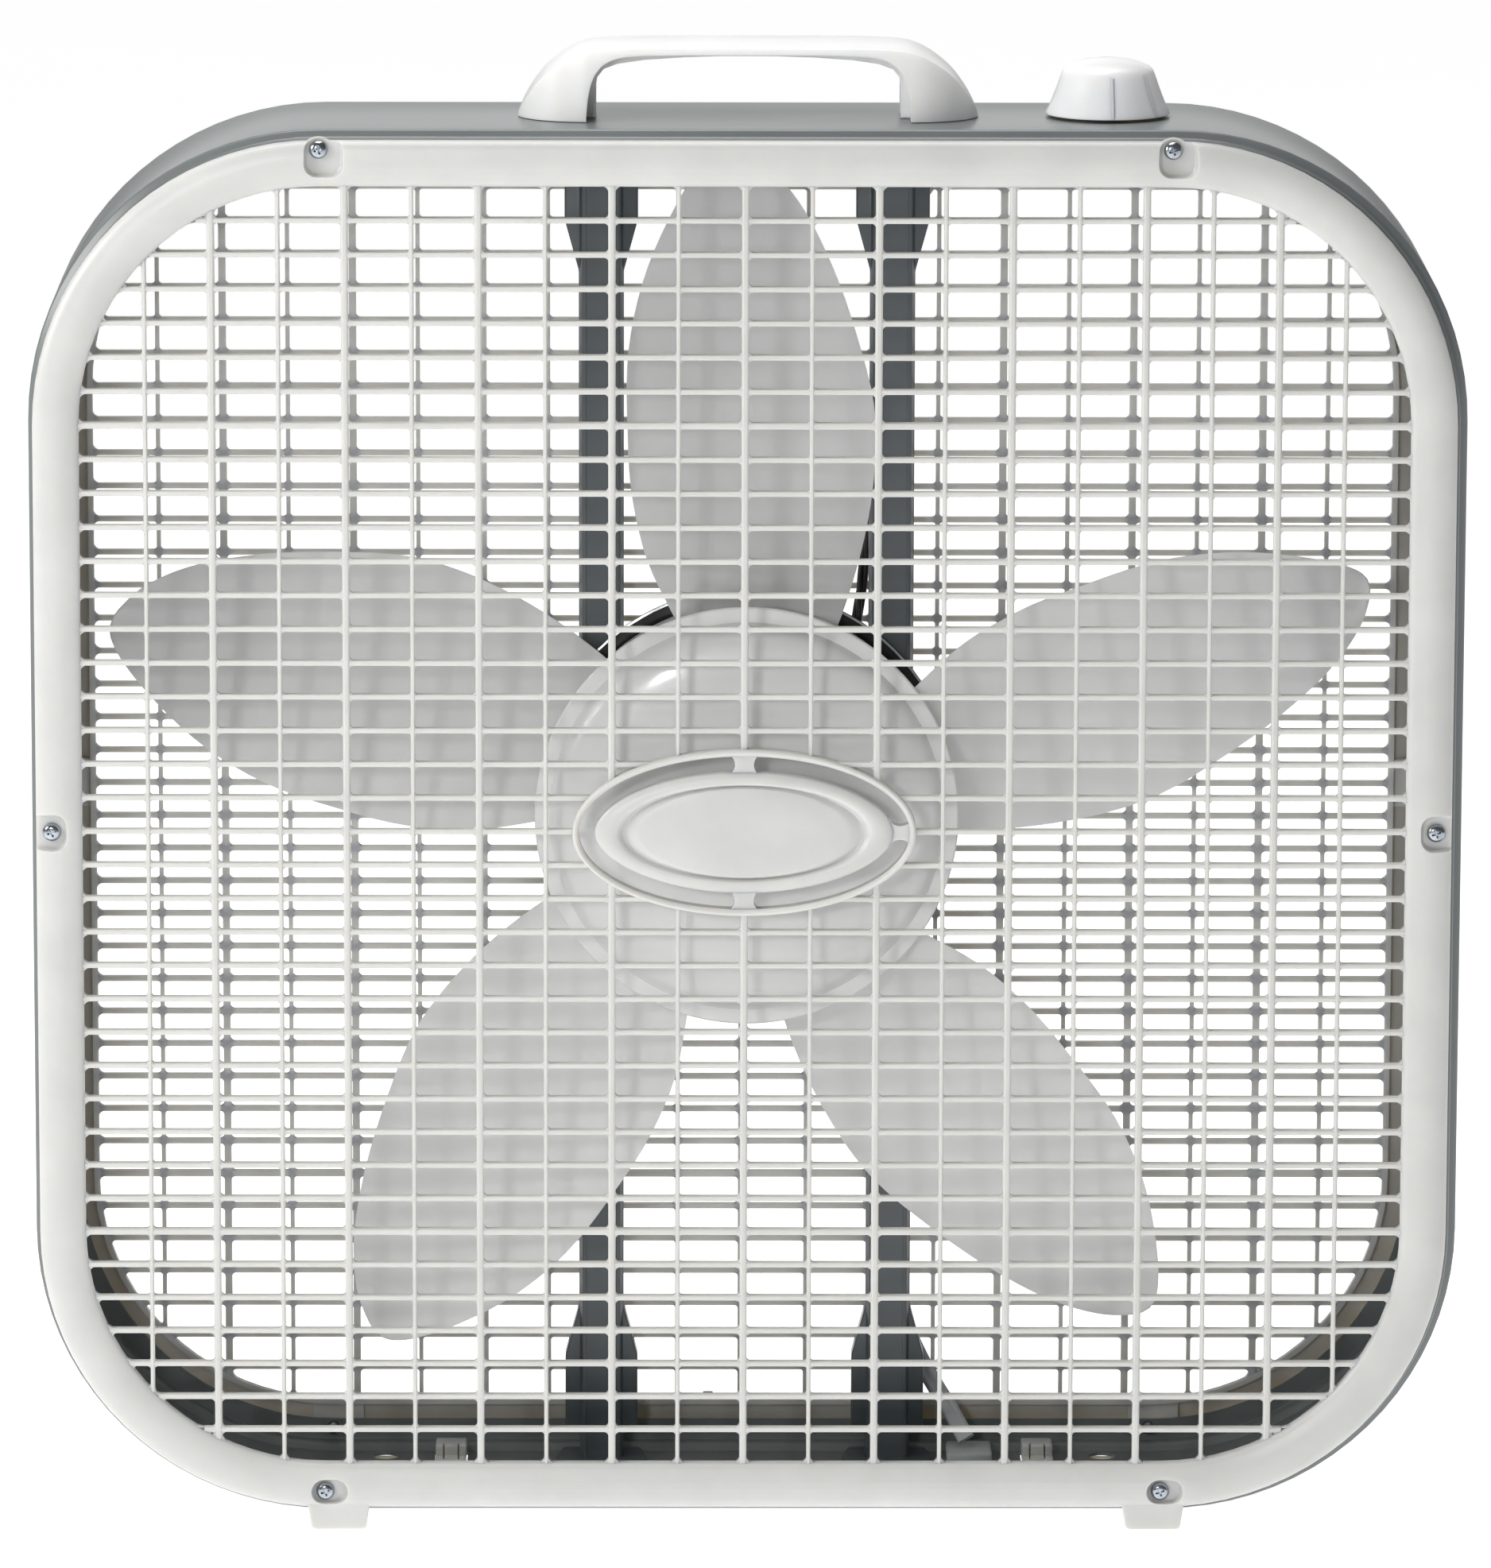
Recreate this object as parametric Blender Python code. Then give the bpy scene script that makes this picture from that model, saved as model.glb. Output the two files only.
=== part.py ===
"""Portable 20-inch box fan: sheet-metal wrapper, moulded grilles, five-blade rotor and its motor.

Metres, +Z up, the front of the fan towards -Y. The origin is on the floor, under the middle of
the wrapper. Run it with blender --background --python part.py, or from the text editor.
"""

import math

import bmesh
import bpy
from mathutils import Matrix, Vector

MM = 0.001
GAP = 0.3 * MM  # left between pieces that touch
CORNER_STEPS = 8  # facets of each large round corner

# Driving dimensions
AXIS_Z = 275.5 * MM  # height of the rotor's axis
CASING_HALF_W = 274.8 * MM
CASING_HALF_H = 270.0 * MM
CASING_CORNER = 112.0 * MM
CASING_HALF_FLAT = 43.0 * MM  # the wrapper's full-size band runs this far each way in depth
CASING_HALF_D = 50.0 * MM
RIM_STEP = 3.2 * MM  # both rims are stepped inwards, for the grilles
LIP = 12.6 * MM  # how far the inward lips reach from the outside
SHEET = 1.2 * MM

GRILLE_X = -1.2 * MM  # the grilles sit a little to one side in the wrapper
BEZEL_HALF_W = 271.5 * MM
BEZEL_HALF_H = 266.8 * MM
BEZEL_CORNER = 109.5 * MM
BEZEL_WIDTH = 17.5 * MM
BEZEL_WALL = 2.2 * MM
BEZEL_CROWN_Y = 56.0 * MM  # the furthest point of the bezel from the middle of the fan
BAR_OUTER_Y = 52.9 * MM
BAR_INNER_Y = 48.9 * MM
PITCH_X = 50.8 * MM
PITCH_Z = 104.96 * MM
UPRIGHT_HALF = 1.4 * MM
LEVEL_HALF = 1.1 * MM
LEVEL_INSET = 0.4 * MM  # the level bars are this much shallower on both faces
MEDALLION_HALF = (66.0 * MM, 32.4 * MM)
MEDALLION_Y = (-54.6 * MM, -48.6 * MM)
MEDALLION_SIDES = 36

SCREW_X = 162.0 * MM
SCREW_TOP = 263.4 * MM
SCREW_BOTTOM = 260.4 * MM
SCREW_SIDE = 265.5 * MM
SCREW_R = 1.9 * MM
SCREW_HEAD_R = 3.6 * MM
SCREW_SEAT_Y = 52.2 * MM
POCKET_R = 8.2 * MM
FOOT_X = 158.0 * MM

STRUT_X = 56.5 * MM
STRUT_HALF = 8.75 * MM
STRUT_END_HALF = 14.25 * MM
STRUT_FRONT_Y = 25.9 * MM
STRUT_BACK_Y = 38.0 * MM
PLATE_R = 82.0 * MM
PLATE_Y = (24.0 * MM, 25.6 * MM)
SHAFT_R = 4.0 * MM
LEAD_HOLE = (39.7 * MM, AXIS_Z + 43.3 * MM)  # where the motor's lead goes through its plate
LEAD_HOLE_R = 4.2 * MM

KNOB_X = 138.0 * MM
KNOB_HOLE_R = 5.2 * MM
SWITCH_HALF = (15.0 * MM, 14.0 * MM)
SWITCH_H = 20.0 * MM
HOOK_X = 74.0 * MM  # the handle's hooks, each way from the middle
HANDLE_FOOT_X = 62.0 * MM  # the inner edge of each of its feet
HANDLE_HALF_W = 88.4 * MM
HANDLE_HALF_D = 23.0 * MM
SLOT_X = 116.0 * MM  # the clip slots in the wrapper's floor
SLOT_Y = (22.0 * MM, 40.0 * MM)
DRAIN = (142.0 * MM, 34.5 * MM)  # the round holes in the wrapper's floor
DRAIN_R = 5.4 * MM

CORD_X = 89.0 * MM
CORD_R = 1.9 * MM
HANK_RUN = 112.0 * MM
HANK_HALF_W = 33.4 * MM
HANK_CENTRE = (-14.0 * MM, 94.6 * MM)
HANK_Z = (0.2 * MM, 11.8 * MM)
PLUG_ENTRY = Vector((-114.0, 98.0, 7.0)) * MM  # where the cord enters the plug
PLUG_TURN = math.radians(20)  # the plug points this far round from -X towards -Y
PLUG_BODY = 26.0 * MM
PLUG_PRONG = 15.6 * MM

TOP_Z = AXIS_Z + CASING_HALF_H
BOTTOM_Z = AXIS_Z - CASING_HALF_H

# Blade stations: radius, trailing and leading edge angle from the blade's axis (degrees,
# clockwise from the front), trailing and leading edge depth (mm).
BLADE_STATIONS = [
    (77.4, -19.5, 27.5, -17.0, 18.0),
    (104.0, -21.1, 25.0, -19.0, 22.0),
    (131.0, -19.7, 22.0, -19.5, 24.0),
    (158.0, -17.0, 18.4, -19.0, 23.5),
    (186.0, -14.3, 13.3, -16.5, 21.5),
    (212.0, -10.9, 8.9, -12.0, 19.5),
    (234.0, -7.3, 5.1, -6.0, 17.0),
    (248.0, -4.8, 2.0, -0.5, 13.5),
    (254.5, -3.3, -0.3, 3.5, 9.0),
    (256.6, -2.3, -1.5, 5.5, 7.0),
]
BLADE_COUNT = 5
BLADE_HALF_THICKNESS = 1.0 * MM
BLADE_CAMBER = 5.0 * MM


def material(name, colour, roughness, metallic=0.0, alpha=1.0):
    made = bpy.data.materials.new(name)
    made.use_nodes = True
    shader = made.node_tree.nodes["Principled BSDF"]
    shader.inputs["Base Color"].default_value = (*colour, 1.0)
    shader.inputs["Roughness"].default_value = roughness
    shader.inputs["Metallic"].default_value = metallic
    shader.inputs["Alpha"].default_value = alpha
    made.diffuse_color = (*colour, alpha)
    return made


def place(name, bm, look, smooth_angle=0.6):
    """Makes the object called name from a bmesh, facing outwards and shaded smooth."""
    bmesh.ops.recalc_face_normals(bm, faces=bm.faces)
    mesh = bpy.data.meshes.new(name)
    bm.to_mesh(mesh)
    bm.free()
    mesh.shade_smooth()
    mesh.set_sharp_from_angle(angle=smooth_angle)
    made = bpy.data.objects.new(name, mesh)
    if look is not None:
        mesh.materials.append(look)
    bpy.context.scene.collection.objects.link(made)
    return made


def boolean(target, bm, operation, self_overlap=False):
    """Adds a Boolean of the bmesh to the target. The tool stays in the file as a wire guide."""
    tool = place(f"{target.name}_{operation.lower()}_{len(target.modifiers)}", bm, None)
    tool.hide_render = True
    tool.display_type = "WIRE"
    modifier = target.modifiers.new(operation.title(), "BOOLEAN")
    modifier.operation = operation
    modifier.solver = "EXACT"
    modifier.use_self = self_overlap
    modifier.object = tool
    return tool


def add_box(bm, low, high):
    """Adds a box between two corners."""
    size = [b - a for a, b in zip(low, high)]
    middle = [(a + b) / 2 for a, b in zip(low, high)]
    matrix = Matrix.Translation(middle) @ Matrix.Diagonal((*size, 1.0))
    bmesh.ops.create_cube(bm, size=1.0, matrix=matrix)


def add_prism(bm, outline, axis, low, high):
    """Adds a prism of a closed outline, between two heights along axis.

    The outline holds the other two coordinates in X, Y, Z order.
    """
    def point(pair, height):
        values = list(pair)
        values.insert("XYZ".index(axis), height)
        return bm.verts.new(values)

    bottom = [point(pair, low) for pair in outline]
    top = [point(pair, high) for pair in outline]
    bm.faces.new(bottom)
    bm.faces.new(reversed(top))
    count = len(outline)
    for i in range(count):
        j = (i + 1) % count
        bm.faces.new((bottom[i], top[i], top[j], bottom[j]))


def add_cylinder(bm, centre, radius, axis, low, high, sides=16):
    """Adds a cylinder about a point of the plane across axis."""
    turn = [2 * math.pi * (i + 0.5) / sides for i in range(sides)]
    outline = [(centre[0] + radius * math.cos(a), centre[1] + radius * math.sin(a)) for a in turn]
    add_prism(bm, outline, axis, low, high)


def add_lathe(bm, profile, axis, centre, sides=32):
    """Turns a profile of (radius, height) points about axis through centre.

    A profile that starts and ends on the axis closes there; any other is a closed ring.
    """
    closed_ring = profile[0][0] > 0
    rings = []
    for radius, height in profile:
        if radius == 0:
            local = Vector((0, 0, height))
            rings.append([bm.verts.new(to_axis(local, axis, centre))])
            continue
        ring = []
        for i in range(sides):
            a = 2 * math.pi * i / sides
            local = Vector((radius * math.cos(a), radius * math.sin(a), height))
            ring.append(bm.verts.new(to_axis(local, axis, centre)))
        rings.append(ring)
    pairs = list(zip(rings, rings[1:]))
    if closed_ring:
        pairs.append((rings[-1], rings[0]))
    for a, b in pairs:
        for i in range(sides):
            j = (i + 1) % sides
            corners = [a[i % len(a)], a[j % len(a)], b[j % len(b)], b[i % len(b)]]
            bm.faces.new(list(dict.fromkeys(corners)))


def to_axis(local, axis, centre):
    """Turns a point whose Z runs along the lathe's axis into the model's axes."""
    if axis == "Y":
        local = Vector((local.x, local.z, local.y))
    return local + Vector(centre)


def rounded_rectangle(half_w, half_h, radius, steps=CORNER_STEPS):
    """Points of a rounded rectangle about the fan's axis, as (x, z), anticlockwise."""
    points = []
    corners = [(1, 1, 0), (-1, 1, 90), (-1, -1, 180), (1, -1, 270)]
    for side_x, side_z, start in corners:
        for i in range(steps + 1):
            a = math.radians(start + 90 * i / steps)
            x = side_x * (half_w - radius) + radius * math.cos(a)
            z = side_z * (half_h - radius) + radius * math.sin(a)
            points.append((x, AXIS_Z + z))
    return points


def add_frame(bm, half_w, half_h, corner, section, shift_x=0.0):
    """Sweeps a closed section of (inset, y) points around a rounded rectangle."""
    rings = []
    for inset, y in section:
        outline = rounded_rectangle(half_w - inset, half_h - inset, corner - inset)
        rings.append([bm.verts.new((x + shift_x, y, z)) for x, z in outline])
    for a, b in zip(rings, rings[1:] + rings[:1]):
        count = len(a)
        for i in range(count):
            j = (i + 1) % count
            bm.faces.new((a[i], a[j], b[j], b[i]))


def grille_screws():
    """The places of the six screws of a grille, as (x, z)."""
    return [
        (GRILLE_X - SCREW_X, AXIS_Z + SCREW_TOP),
        (GRILLE_X + SCREW_X, AXIS_Z + SCREW_TOP),
        (GRILLE_X - SCREW_X, AXIS_Z - SCREW_BOTTOM),
        (GRILLE_X + SCREW_X, AXIS_Z - SCREW_BOTTOM),
        (GRILLE_X - SCREW_SIDE, AXIS_Z),
        (GRILLE_X + SCREW_SIDE, AXIS_Z),
    ]


def make_casing(look):
    """The sheet-metal wrapper: one band with stepped rims and inward lips, and its openings."""
    slope = 1.5 * MM
    flat, depth, inner = CASING_HALF_FLAT, CASING_HALF_D, CASING_HALF_D - SHEET
    half = [
        (0.0, flat),
        (RIM_STEP, flat + slope),
        (RIM_STEP, depth),
        (LIP, depth),
        (LIP, inner),
        (RIM_STEP + SHEET, inner),
        (RIM_STEP + SHEET, flat + slope - SHEET / 2),
        (SHEET, flat - SHEET / 2),
    ]
    section = half + [(inset, -y) for inset, y in reversed(half)]
    bm = bmesh.new()
    add_frame(bm, CASING_HALF_W, CASING_HALF_H, CASING_CORNER, section)
    casing = place("casing", bm, look)

    cuts = bmesh.new()
    reach = 8 * MM
    for x, z in grille_screws():
        for side in (-1, 1):
            ends = sorted((side * (depth - 2 * SHEET), side * (depth + reach)))
            add_cylinder(cuts, (x, z), SCREW_R + 0.4 * MM, "Y", *ends, sides=6)
    top = (TOP_Z - reach, TOP_Z + reach)
    bottom = (BOTTOM_Z - reach / 2, BOTTOM_Z + reach / 2)
    add_cylinder(cuts, (KNOB_X, 0.0), KNOB_HOLE_R, "Z", *top)
    add_slot(cuts, CORD_X, 7.5 * MM, SLOT_Y, bottom)
    for side in (-1, 1):
        add_slot(cuts, side * HOOK_X, 7.0 * MM, (-2.5 * MM, 2.5 * MM), top)
        add_slot(cuts, side * SLOT_X, 6.4 * MM, SLOT_Y, bottom)
        add_cylinder(cuts, (side * DRAIN[0], DRAIN[1]), DRAIN_R, "Z", *bottom)
    boolean(casing, cuts, "DIFFERENCE")


def add_slot(bm, x, half, depths, heights):
    """Adds the cutter of a slot through the wrapper, half its width each way from x."""
    add_box(bm, (x - half, depths[0], heights[0]), (x + half, depths[1], heights[1]))


def opening_reach(offset, half_along, half_across):
    """Half the length of the opening, and a little of the bezel, at an offset from its middle."""
    corner = BEZEL_CORNER - BEZEL_WIDTH
    into = max(0.0, abs(offset) - (half_across - corner))
    return half_along - corner + math.sqrt(corner**2 - into**2) + 1.2 * MM


def make_grille(name, look, side):
    """A grille with its bezel, bars, screw bosses and feet. side is -1 in front, 1 behind."""
    crown, back = BEZEL_CROWN_Y, CASING_HALF_D + GAP
    width, wall = BEZEL_WIDTH, BEZEL_WALL
    section = [
        (0.0, back),
        (0.0, crown - 3.4 * MM),
        (1.4 * MM, crown - 1.5 * MM),
        (5.0 * MM, crown - 0.2 * MM),
        (8.5 * MM, crown),
        (13.0 * MM, crown - 1.0 * MM),
        (width, crown - 3.0 * MM),
        (width, BAR_INNER_Y - 0.3 * MM),
        (width - wall, BAR_INNER_Y - 0.3 * MM),
        (width - wall, crown - 4.6 * MM),
        (8.5 * MM, crown - wall),
        (4.4 * MM, crown - 1.1 * wall),
        (wall, crown - 4.0 * MM),
        (wall, back),
    ]
    bm = bmesh.new()
    turned = [(inset, side * y) for inset, y in section]
    add_frame(bm, BEZEL_HALF_W, BEZEL_HALF_H, BEZEL_CORNER, turned, GRILLE_X)
    grille = place(name, bm, look)

    opening_w, opening_h = BEZEL_HALF_W - width, BEZEL_HALF_H - width
    bars = bmesh.new()
    ends = sorted((side * BAR_INNER_Y, side * BAR_OUTER_Y))
    for k in range(-4, 5):
        x, half = k * PITCH_X, UPRIGHT_HALF
        reach = opening_reach(abs(x) + half, opening_h, opening_w)
        x += GRILLE_X
        add_box(bars, (x - half, ends[0], AXIS_Z - reach), (x + half, ends[1], AXIS_Z + reach))
    ends = sorted((side * (BAR_INNER_Y + LEVEL_INSET), side * (BAR_OUTER_Y - LEVEL_INSET)))
    for k in range(-2, 3):
        z, half = k * PITCH_Z, LEVEL_HALF
        reach = opening_reach(abs(z) + half, opening_w, opening_h)
        z += AXIS_Z
        add_box(bars, (GRILLE_X - reach, ends[0], z - half), (GRILLE_X + reach, ends[1], z + half))
    if side < 0:
        turn = [2 * math.pi * (i + 0.5) / MEDALLION_SIDES for i in range(MEDALLION_SIDES)]
        a, b = MEDALLION_HALF
        oval = [(GRILLE_X + a * math.cos(t), AXIS_Z + b * math.sin(t)) for t in turn]
        add_prism(bars, oval, "Y", *MEDALLION_Y)
    for foot_x in (-FOOT_X, FOOT_X):
        add_foot(bars, foot_x, side)
    for x, z in grille_screws():
        add_boss(bars, x, z, side)
    boolean(grille, bars, "UNION", self_overlap=True)

    cuts = bmesh.new()
    for x, z in grille_screws():
        ends = sorted((side * SCREW_SEAT_Y, side * (crown + 4 * MM)))
        add_cylinder(cuts, (x, z), POCKET_R, "Y", *ends, sides=10)
        ends = sorted((side * (back - 2 * MM), side * (SCREW_SEAT_Y + 1 * MM)))
        add_cylinder(cuts, (x, z), SCREW_R + 0.4 * MM, "Y", *ends, sides=6)
    boolean(grille, cuts, "DIFFERENCE", self_overlap=True)


def add_boss(bm, x, z, side):
    """The block behind a screw pocket, kept inside the bezel's outline."""
    half, edge = 10.5 * MM, 0.9 * MM
    reach = BEZEL_WIDTH - 1.0 * MM - edge
    front, back = sorted((side * (CASING_HALF_D + GAP), side * (BEZEL_CROWN_Y - 3.1 * MM)))
    if abs(z - AXIS_Z) < MM:
        way = math.copysign(1, x)
        outer = GRILLE_X + way * (BEZEL_HALF_W - edge)
        left, right = sorted((outer, outer - way * reach))
        add_box(bm, (left, front, z - half), (right, back, z + half))
        return
    way = math.copysign(1, z - AXIS_Z)
    outer = AXIS_Z + way * (BEZEL_HALF_H - edge)
    low, high = sorted((outer, outer - way * reach))
    half -= edge
    middle = x - math.copysign(2.5 * MM, x)
    add_box(bm, (middle - half, front, low), (middle + half, back, high))


def add_foot(bm, x, side):
    """A foot under the bezel, which also reaches back under the wrapper."""
    top, under = AXIS_Z - BEZEL_HALF_H + 2.4 * MM, BOTTOM_Z - 0.5 * MM
    outline = [(x - 12.2 * MM, top), (x + 12.2 * MM, top), (x + 10.5 * MM, 0.0), (x - 10.5 * MM, 0.0)]
    ends = sorted((side * (CASING_HALF_D + GAP), side * 54.6 * MM))
    add_prism(bm, outline, "Y", *ends)
    ends = sorted((side * 28 * MM, side * 54.0 * MM))
    add_box(bm, (x - 9.8 * MM, ends[0], 0.2 * MM), (x + 9.8 * MM, ends[1], under))


def make_screw(name, look, seat, direction, length=12.0 * MM):
    """A pan-head screw. seat is the point under its head, direction the way its tip points."""
    head, radius = 2.3 * MM, SCREW_R
    profile = [
        (0.0, -head),
        (0.55 * SCREW_HEAD_R, -head * 0.92),
        (0.92 * SCREW_HEAD_R, -head * 0.5),
        (SCREW_HEAD_R, 0.0),
        (radius, 0.0),
        (radius, length - radius),
        (0.0, length),
    ]
    bm = bmesh.new()
    turned = [(r, direction * h) for r, h in profile]
    add_lathe(bm, turned, "Y", seat, sides=8)
    place(name, bm, look)


def make_screws(look):
    seat = SCREW_SEAT_Y + GAP
    for label, side in (("front", -1), ("rear", 1)):
        for i, (x, z) in enumerate(grille_screws()):
            make_screw(f"{label}_screw_{i + 1}", look, (x, side * seat, z), -side)
    for i, (x, z) in enumerate(plate_screws()):
        make_screw(f"motor_screw_{i + 1}", look, (x, PLATE_Y[0] - GAP, z), 1, 7.5 * MM)


def plate_screws():
    """The places of the four screws that hold the motor plate on the struts, as (x, z)."""
    return [(x * STRUT_X, AXIS_Z + z * 42 * MM) for x in (-1, 1) for z in (1, -1)]


def handle_plan():
    """The handle from above: straight sides and a half-ellipse over each foot."""
    reach = HANDLE_HALF_W - HANDLE_FOOT_X
    steps = 14
    points = []
    for side in (1, -1):
        for i in range(steps + 1):
            turn = math.pi * (i / steps - 0.5)
            x = side * (HANDLE_FOOT_X + reach * math.cos(turn))
            points.append((x, side * HANDLE_HALF_D * math.sin(turn)))
    return points


def make_handle(look):
    """The bridge handle: a domed shell on two hollow feet, a web under it and hooks through the wrapper."""
    base = TOP_Z + GAP

    def outline_at(half):
        outline = half + [(-x, z) for x, z in reversed(half)]
        return [(x * MM, base + z * MM) for x, z in outline]

    arch = [(-88.4, -8), (-88.4, 1), (-84.5, 9), (-78, 17.5), (-70, 23.4), (-61, 26.8), (-48, 28.2)]
    arch.append((-20, 28.7))
    shell_under = [(-62, -12), (-62, 2), (-61.3, 10.3), (-59.8, 15.8), (-57.2, 19.8), (-53.5, 22.6)]
    shell_under += [(-46, 24), (-20, 24.6)]
    bm = bmesh.new()
    add_prism(bm, outline_at(arch), "Y", -HANDLE_HALF_D - 2 * MM, HANDLE_HALF_D + 2 * MM)
    handle = place("handle", bm, look)
    plan = bmesh.new()
    add_prism(plan, handle_plan(), "Z", base - 6 * MM, base + 40 * MM)
    boolean(handle, plan, "INTERSECT")
    bevel = handle.modifiers.new("Round edges", "BEVEL")
    bevel.width = 4.5 * MM
    bevel.segments = 3
    bevel.limit_method = "ANGLE"
    bevel.angle_limit = math.radians(40)
    under = bmesh.new()
    add_prism(under, outline_at(shell_under), "Y", -HANDLE_HALF_D - 4 * MM, HANDLE_HALF_D + 4 * MM)
    boolean(handle, under, "DIFFERENCE")
    ground = bmesh.new()
    add_box(ground, (-0.1, -0.04, base - 20 * MM), (0.1, 0.04, base))
    boolean(handle, ground, "DIFFERENCE")

    web_top = [(-80, 0), (-80, 12), (-72, 19.5), (-62, 24), (-48, 26), (-20, 26.5)]
    web_under = [(-20, 22.1), (-40, 21.2), (-52, 19.8), (-56.5, 17.5), (-58.3, 13), (-58.3, 0)]
    outline = web_top + [(-x, z) for x, z in reversed(web_top)]
    outline += [(-x, z) for x, z in reversed(web_under)] + web_under
    web = bmesh.new()
    add_prism(web, [(x * MM, base + z * MM) for x, z in outline], "Y", -8.2 * MM, 9.2 * MM)
    boolean(handle, web, "UNION")

    hollow = bmesh.new()
    for side in (-1, 1):
        near, far = sorted((side * 54 * MM, side * 78 * MM))
        add_box(hollow, (near, -5.9 * MM, base - MM), (far, 6.9 * MM, base + 13 * MM))
        near, far = sorted((side * 65 * MM, side * 78 * MM))
        add_box(hollow, (near, -15 * MM, base - 2 * MM), (far, -10.5 * MM, base + 9 * MM))
        add_box(hollow, (near, 10.5 * MM, base - 2 * MM), (far, 15 * MM, base + 9 * MM))
    boolean(handle, hollow, "DIFFERENCE")
    hooks = bmesh.new()
    for side in (-1, 1):
        left, right = side * HOOK_X - 5.0 * MM, side * HOOK_X + 5.0 * MM
        add_box(hooks, (left, -1.5 * MM, TOP_Z - 6 * MM), (right, 1.5 * MM, base + 15 * MM))
    boolean(handle, hooks, "UNION")


def make_speed_control(looks):
    """The rotary switch under the wrapper's top, its shaft and the knob."""
    centre = (KNOB_X, 0.0, 0.0)
    under = TOP_Z - SHEET - GAP
    shaft_clear = 3.4 * MM
    bm = bmesh.new()
    half_w, half_d = SWITCH_HALF
    add_box(bm, (KNOB_X - half_w, -half_d, under - SWITCH_H), (KNOB_X + half_w, half_d, under))
    body = place("switch_body", bm, looks["black_plastic"])
    neck = bmesh.new()
    add_cylinder(neck, (KNOB_X, 0.0), 4.8 * MM, "Z", under - 2 * MM, TOP_Z + 4.5 * MM)
    boolean(body, neck, "UNION")
    bore = bmesh.new()
    add_cylinder(bore, (KNOB_X, 0.0), shaft_clear, "Z", under - 15 * MM, TOP_Z + 6 * MM)
    boolean(body, bore, "DIFFERENCE")

    bm = bmesh.new()
    profile = [(7.6, 0.3), (7.6, 2.8), (5.1, 2.8), (5.1, 0.3)]
    add_lathe(bm, [(r * MM, TOP_Z + h * MM) for r, h in profile], "Z", centre, sides=18)
    place("switch_nut", bm, looks["zinc"])

    bm = bmesh.new()
    profile = [(0, -14.5), (3.0, -14.5), (3.0, 14.5), (0, 14.5)]
    add_lathe(bm, [(r * MM, TOP_Z + h * MM) for r, h in profile], "Z", centre, sides=16)
    place("switch_shaft", bm, looks["zinc"])

    outer = [(24.3, 1.2), (24.1, 2.4), (17.6, 17.2), (16.2, 18.9), (9.5, 21.6), (0, 22.9)]
    inner = [(0, 15.0), (3.3, 15.0), (3.3, 6.0), (6.0, 6.0), (6.0, 16.8), (15.2, 16.3), (22.2, 1.2)]
    bm = bmesh.new()
    add_lathe(bm, [(r * MM, TOP_Z + h * MM) for r, h in inner + outer], "Z", centre, sides=24)
    place("speed_knob", bm, looks["white_plastic"])


def strut_outline(inset):
    """The strut's outline in (x, z) about its own middle: a narrow bar with flared ends."""
    end = CASING_HALF_H - SHEET - GAP - inset
    narrow, wide = STRUT_HALF - inset, STRUT_END_HALF - inset
    flare = 226 * MM, 206 * MM
    half = [
        (wide, -end), (wide, -flare[0]), (narrow, -flare[1]),
        (narrow, flare[1]), (wide, flare[0]), (wide, end),
    ]
    return half + [(-x, z) for x, z in reversed(half)]


def make_struts(look):
    """The two pressed channels that stand in the wrapper and carry the motor."""
    for label, side in (("left", -1), ("right", 1)):
        bm = bmesh.new()
        outline = [(side * STRUT_X + x, AXIS_Z + z) for x, z in strut_outline(0.0)]
        add_prism(bm, outline, "Y", STRUT_FRONT_Y, STRUT_BACK_Y)
        strut = place(f"{label}_strut", bm, look)
        cuts = bmesh.new()
        outline = [(side * STRUT_X + x, AXIS_Z + z) for x, z in strut_outline(SHEET)]
        add_prism(cuts, outline, "Y", STRUT_FRONT_Y + SHEET, STRUT_BACK_Y + 2 * MM)
        boolean(strut, cuts, "DIFFERENCE")
        holes = bmesh.new()
        for x, z in plate_screws():
            if x * side > 0:
                ends = STRUT_FRONT_Y - MM, STRUT_FRONT_Y + 3 * MM
                add_cylinder(holes, (x, z), SCREW_R + GAP, "Y", *ends, 8)
        boolean(strut, holes, "DIFFERENCE")


def turned(name, look, profile, sides=22):
    """A piece of the motor, turned about the rotor's axis from (radius, y) points in mm."""
    bm = bmesh.new()
    add_lathe(bm, [(r * MM, y * MM) for r, y in profile], "Y", (0.0, 0.0, AXIS_Z), sides)
    return place(name, bm, look)


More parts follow.
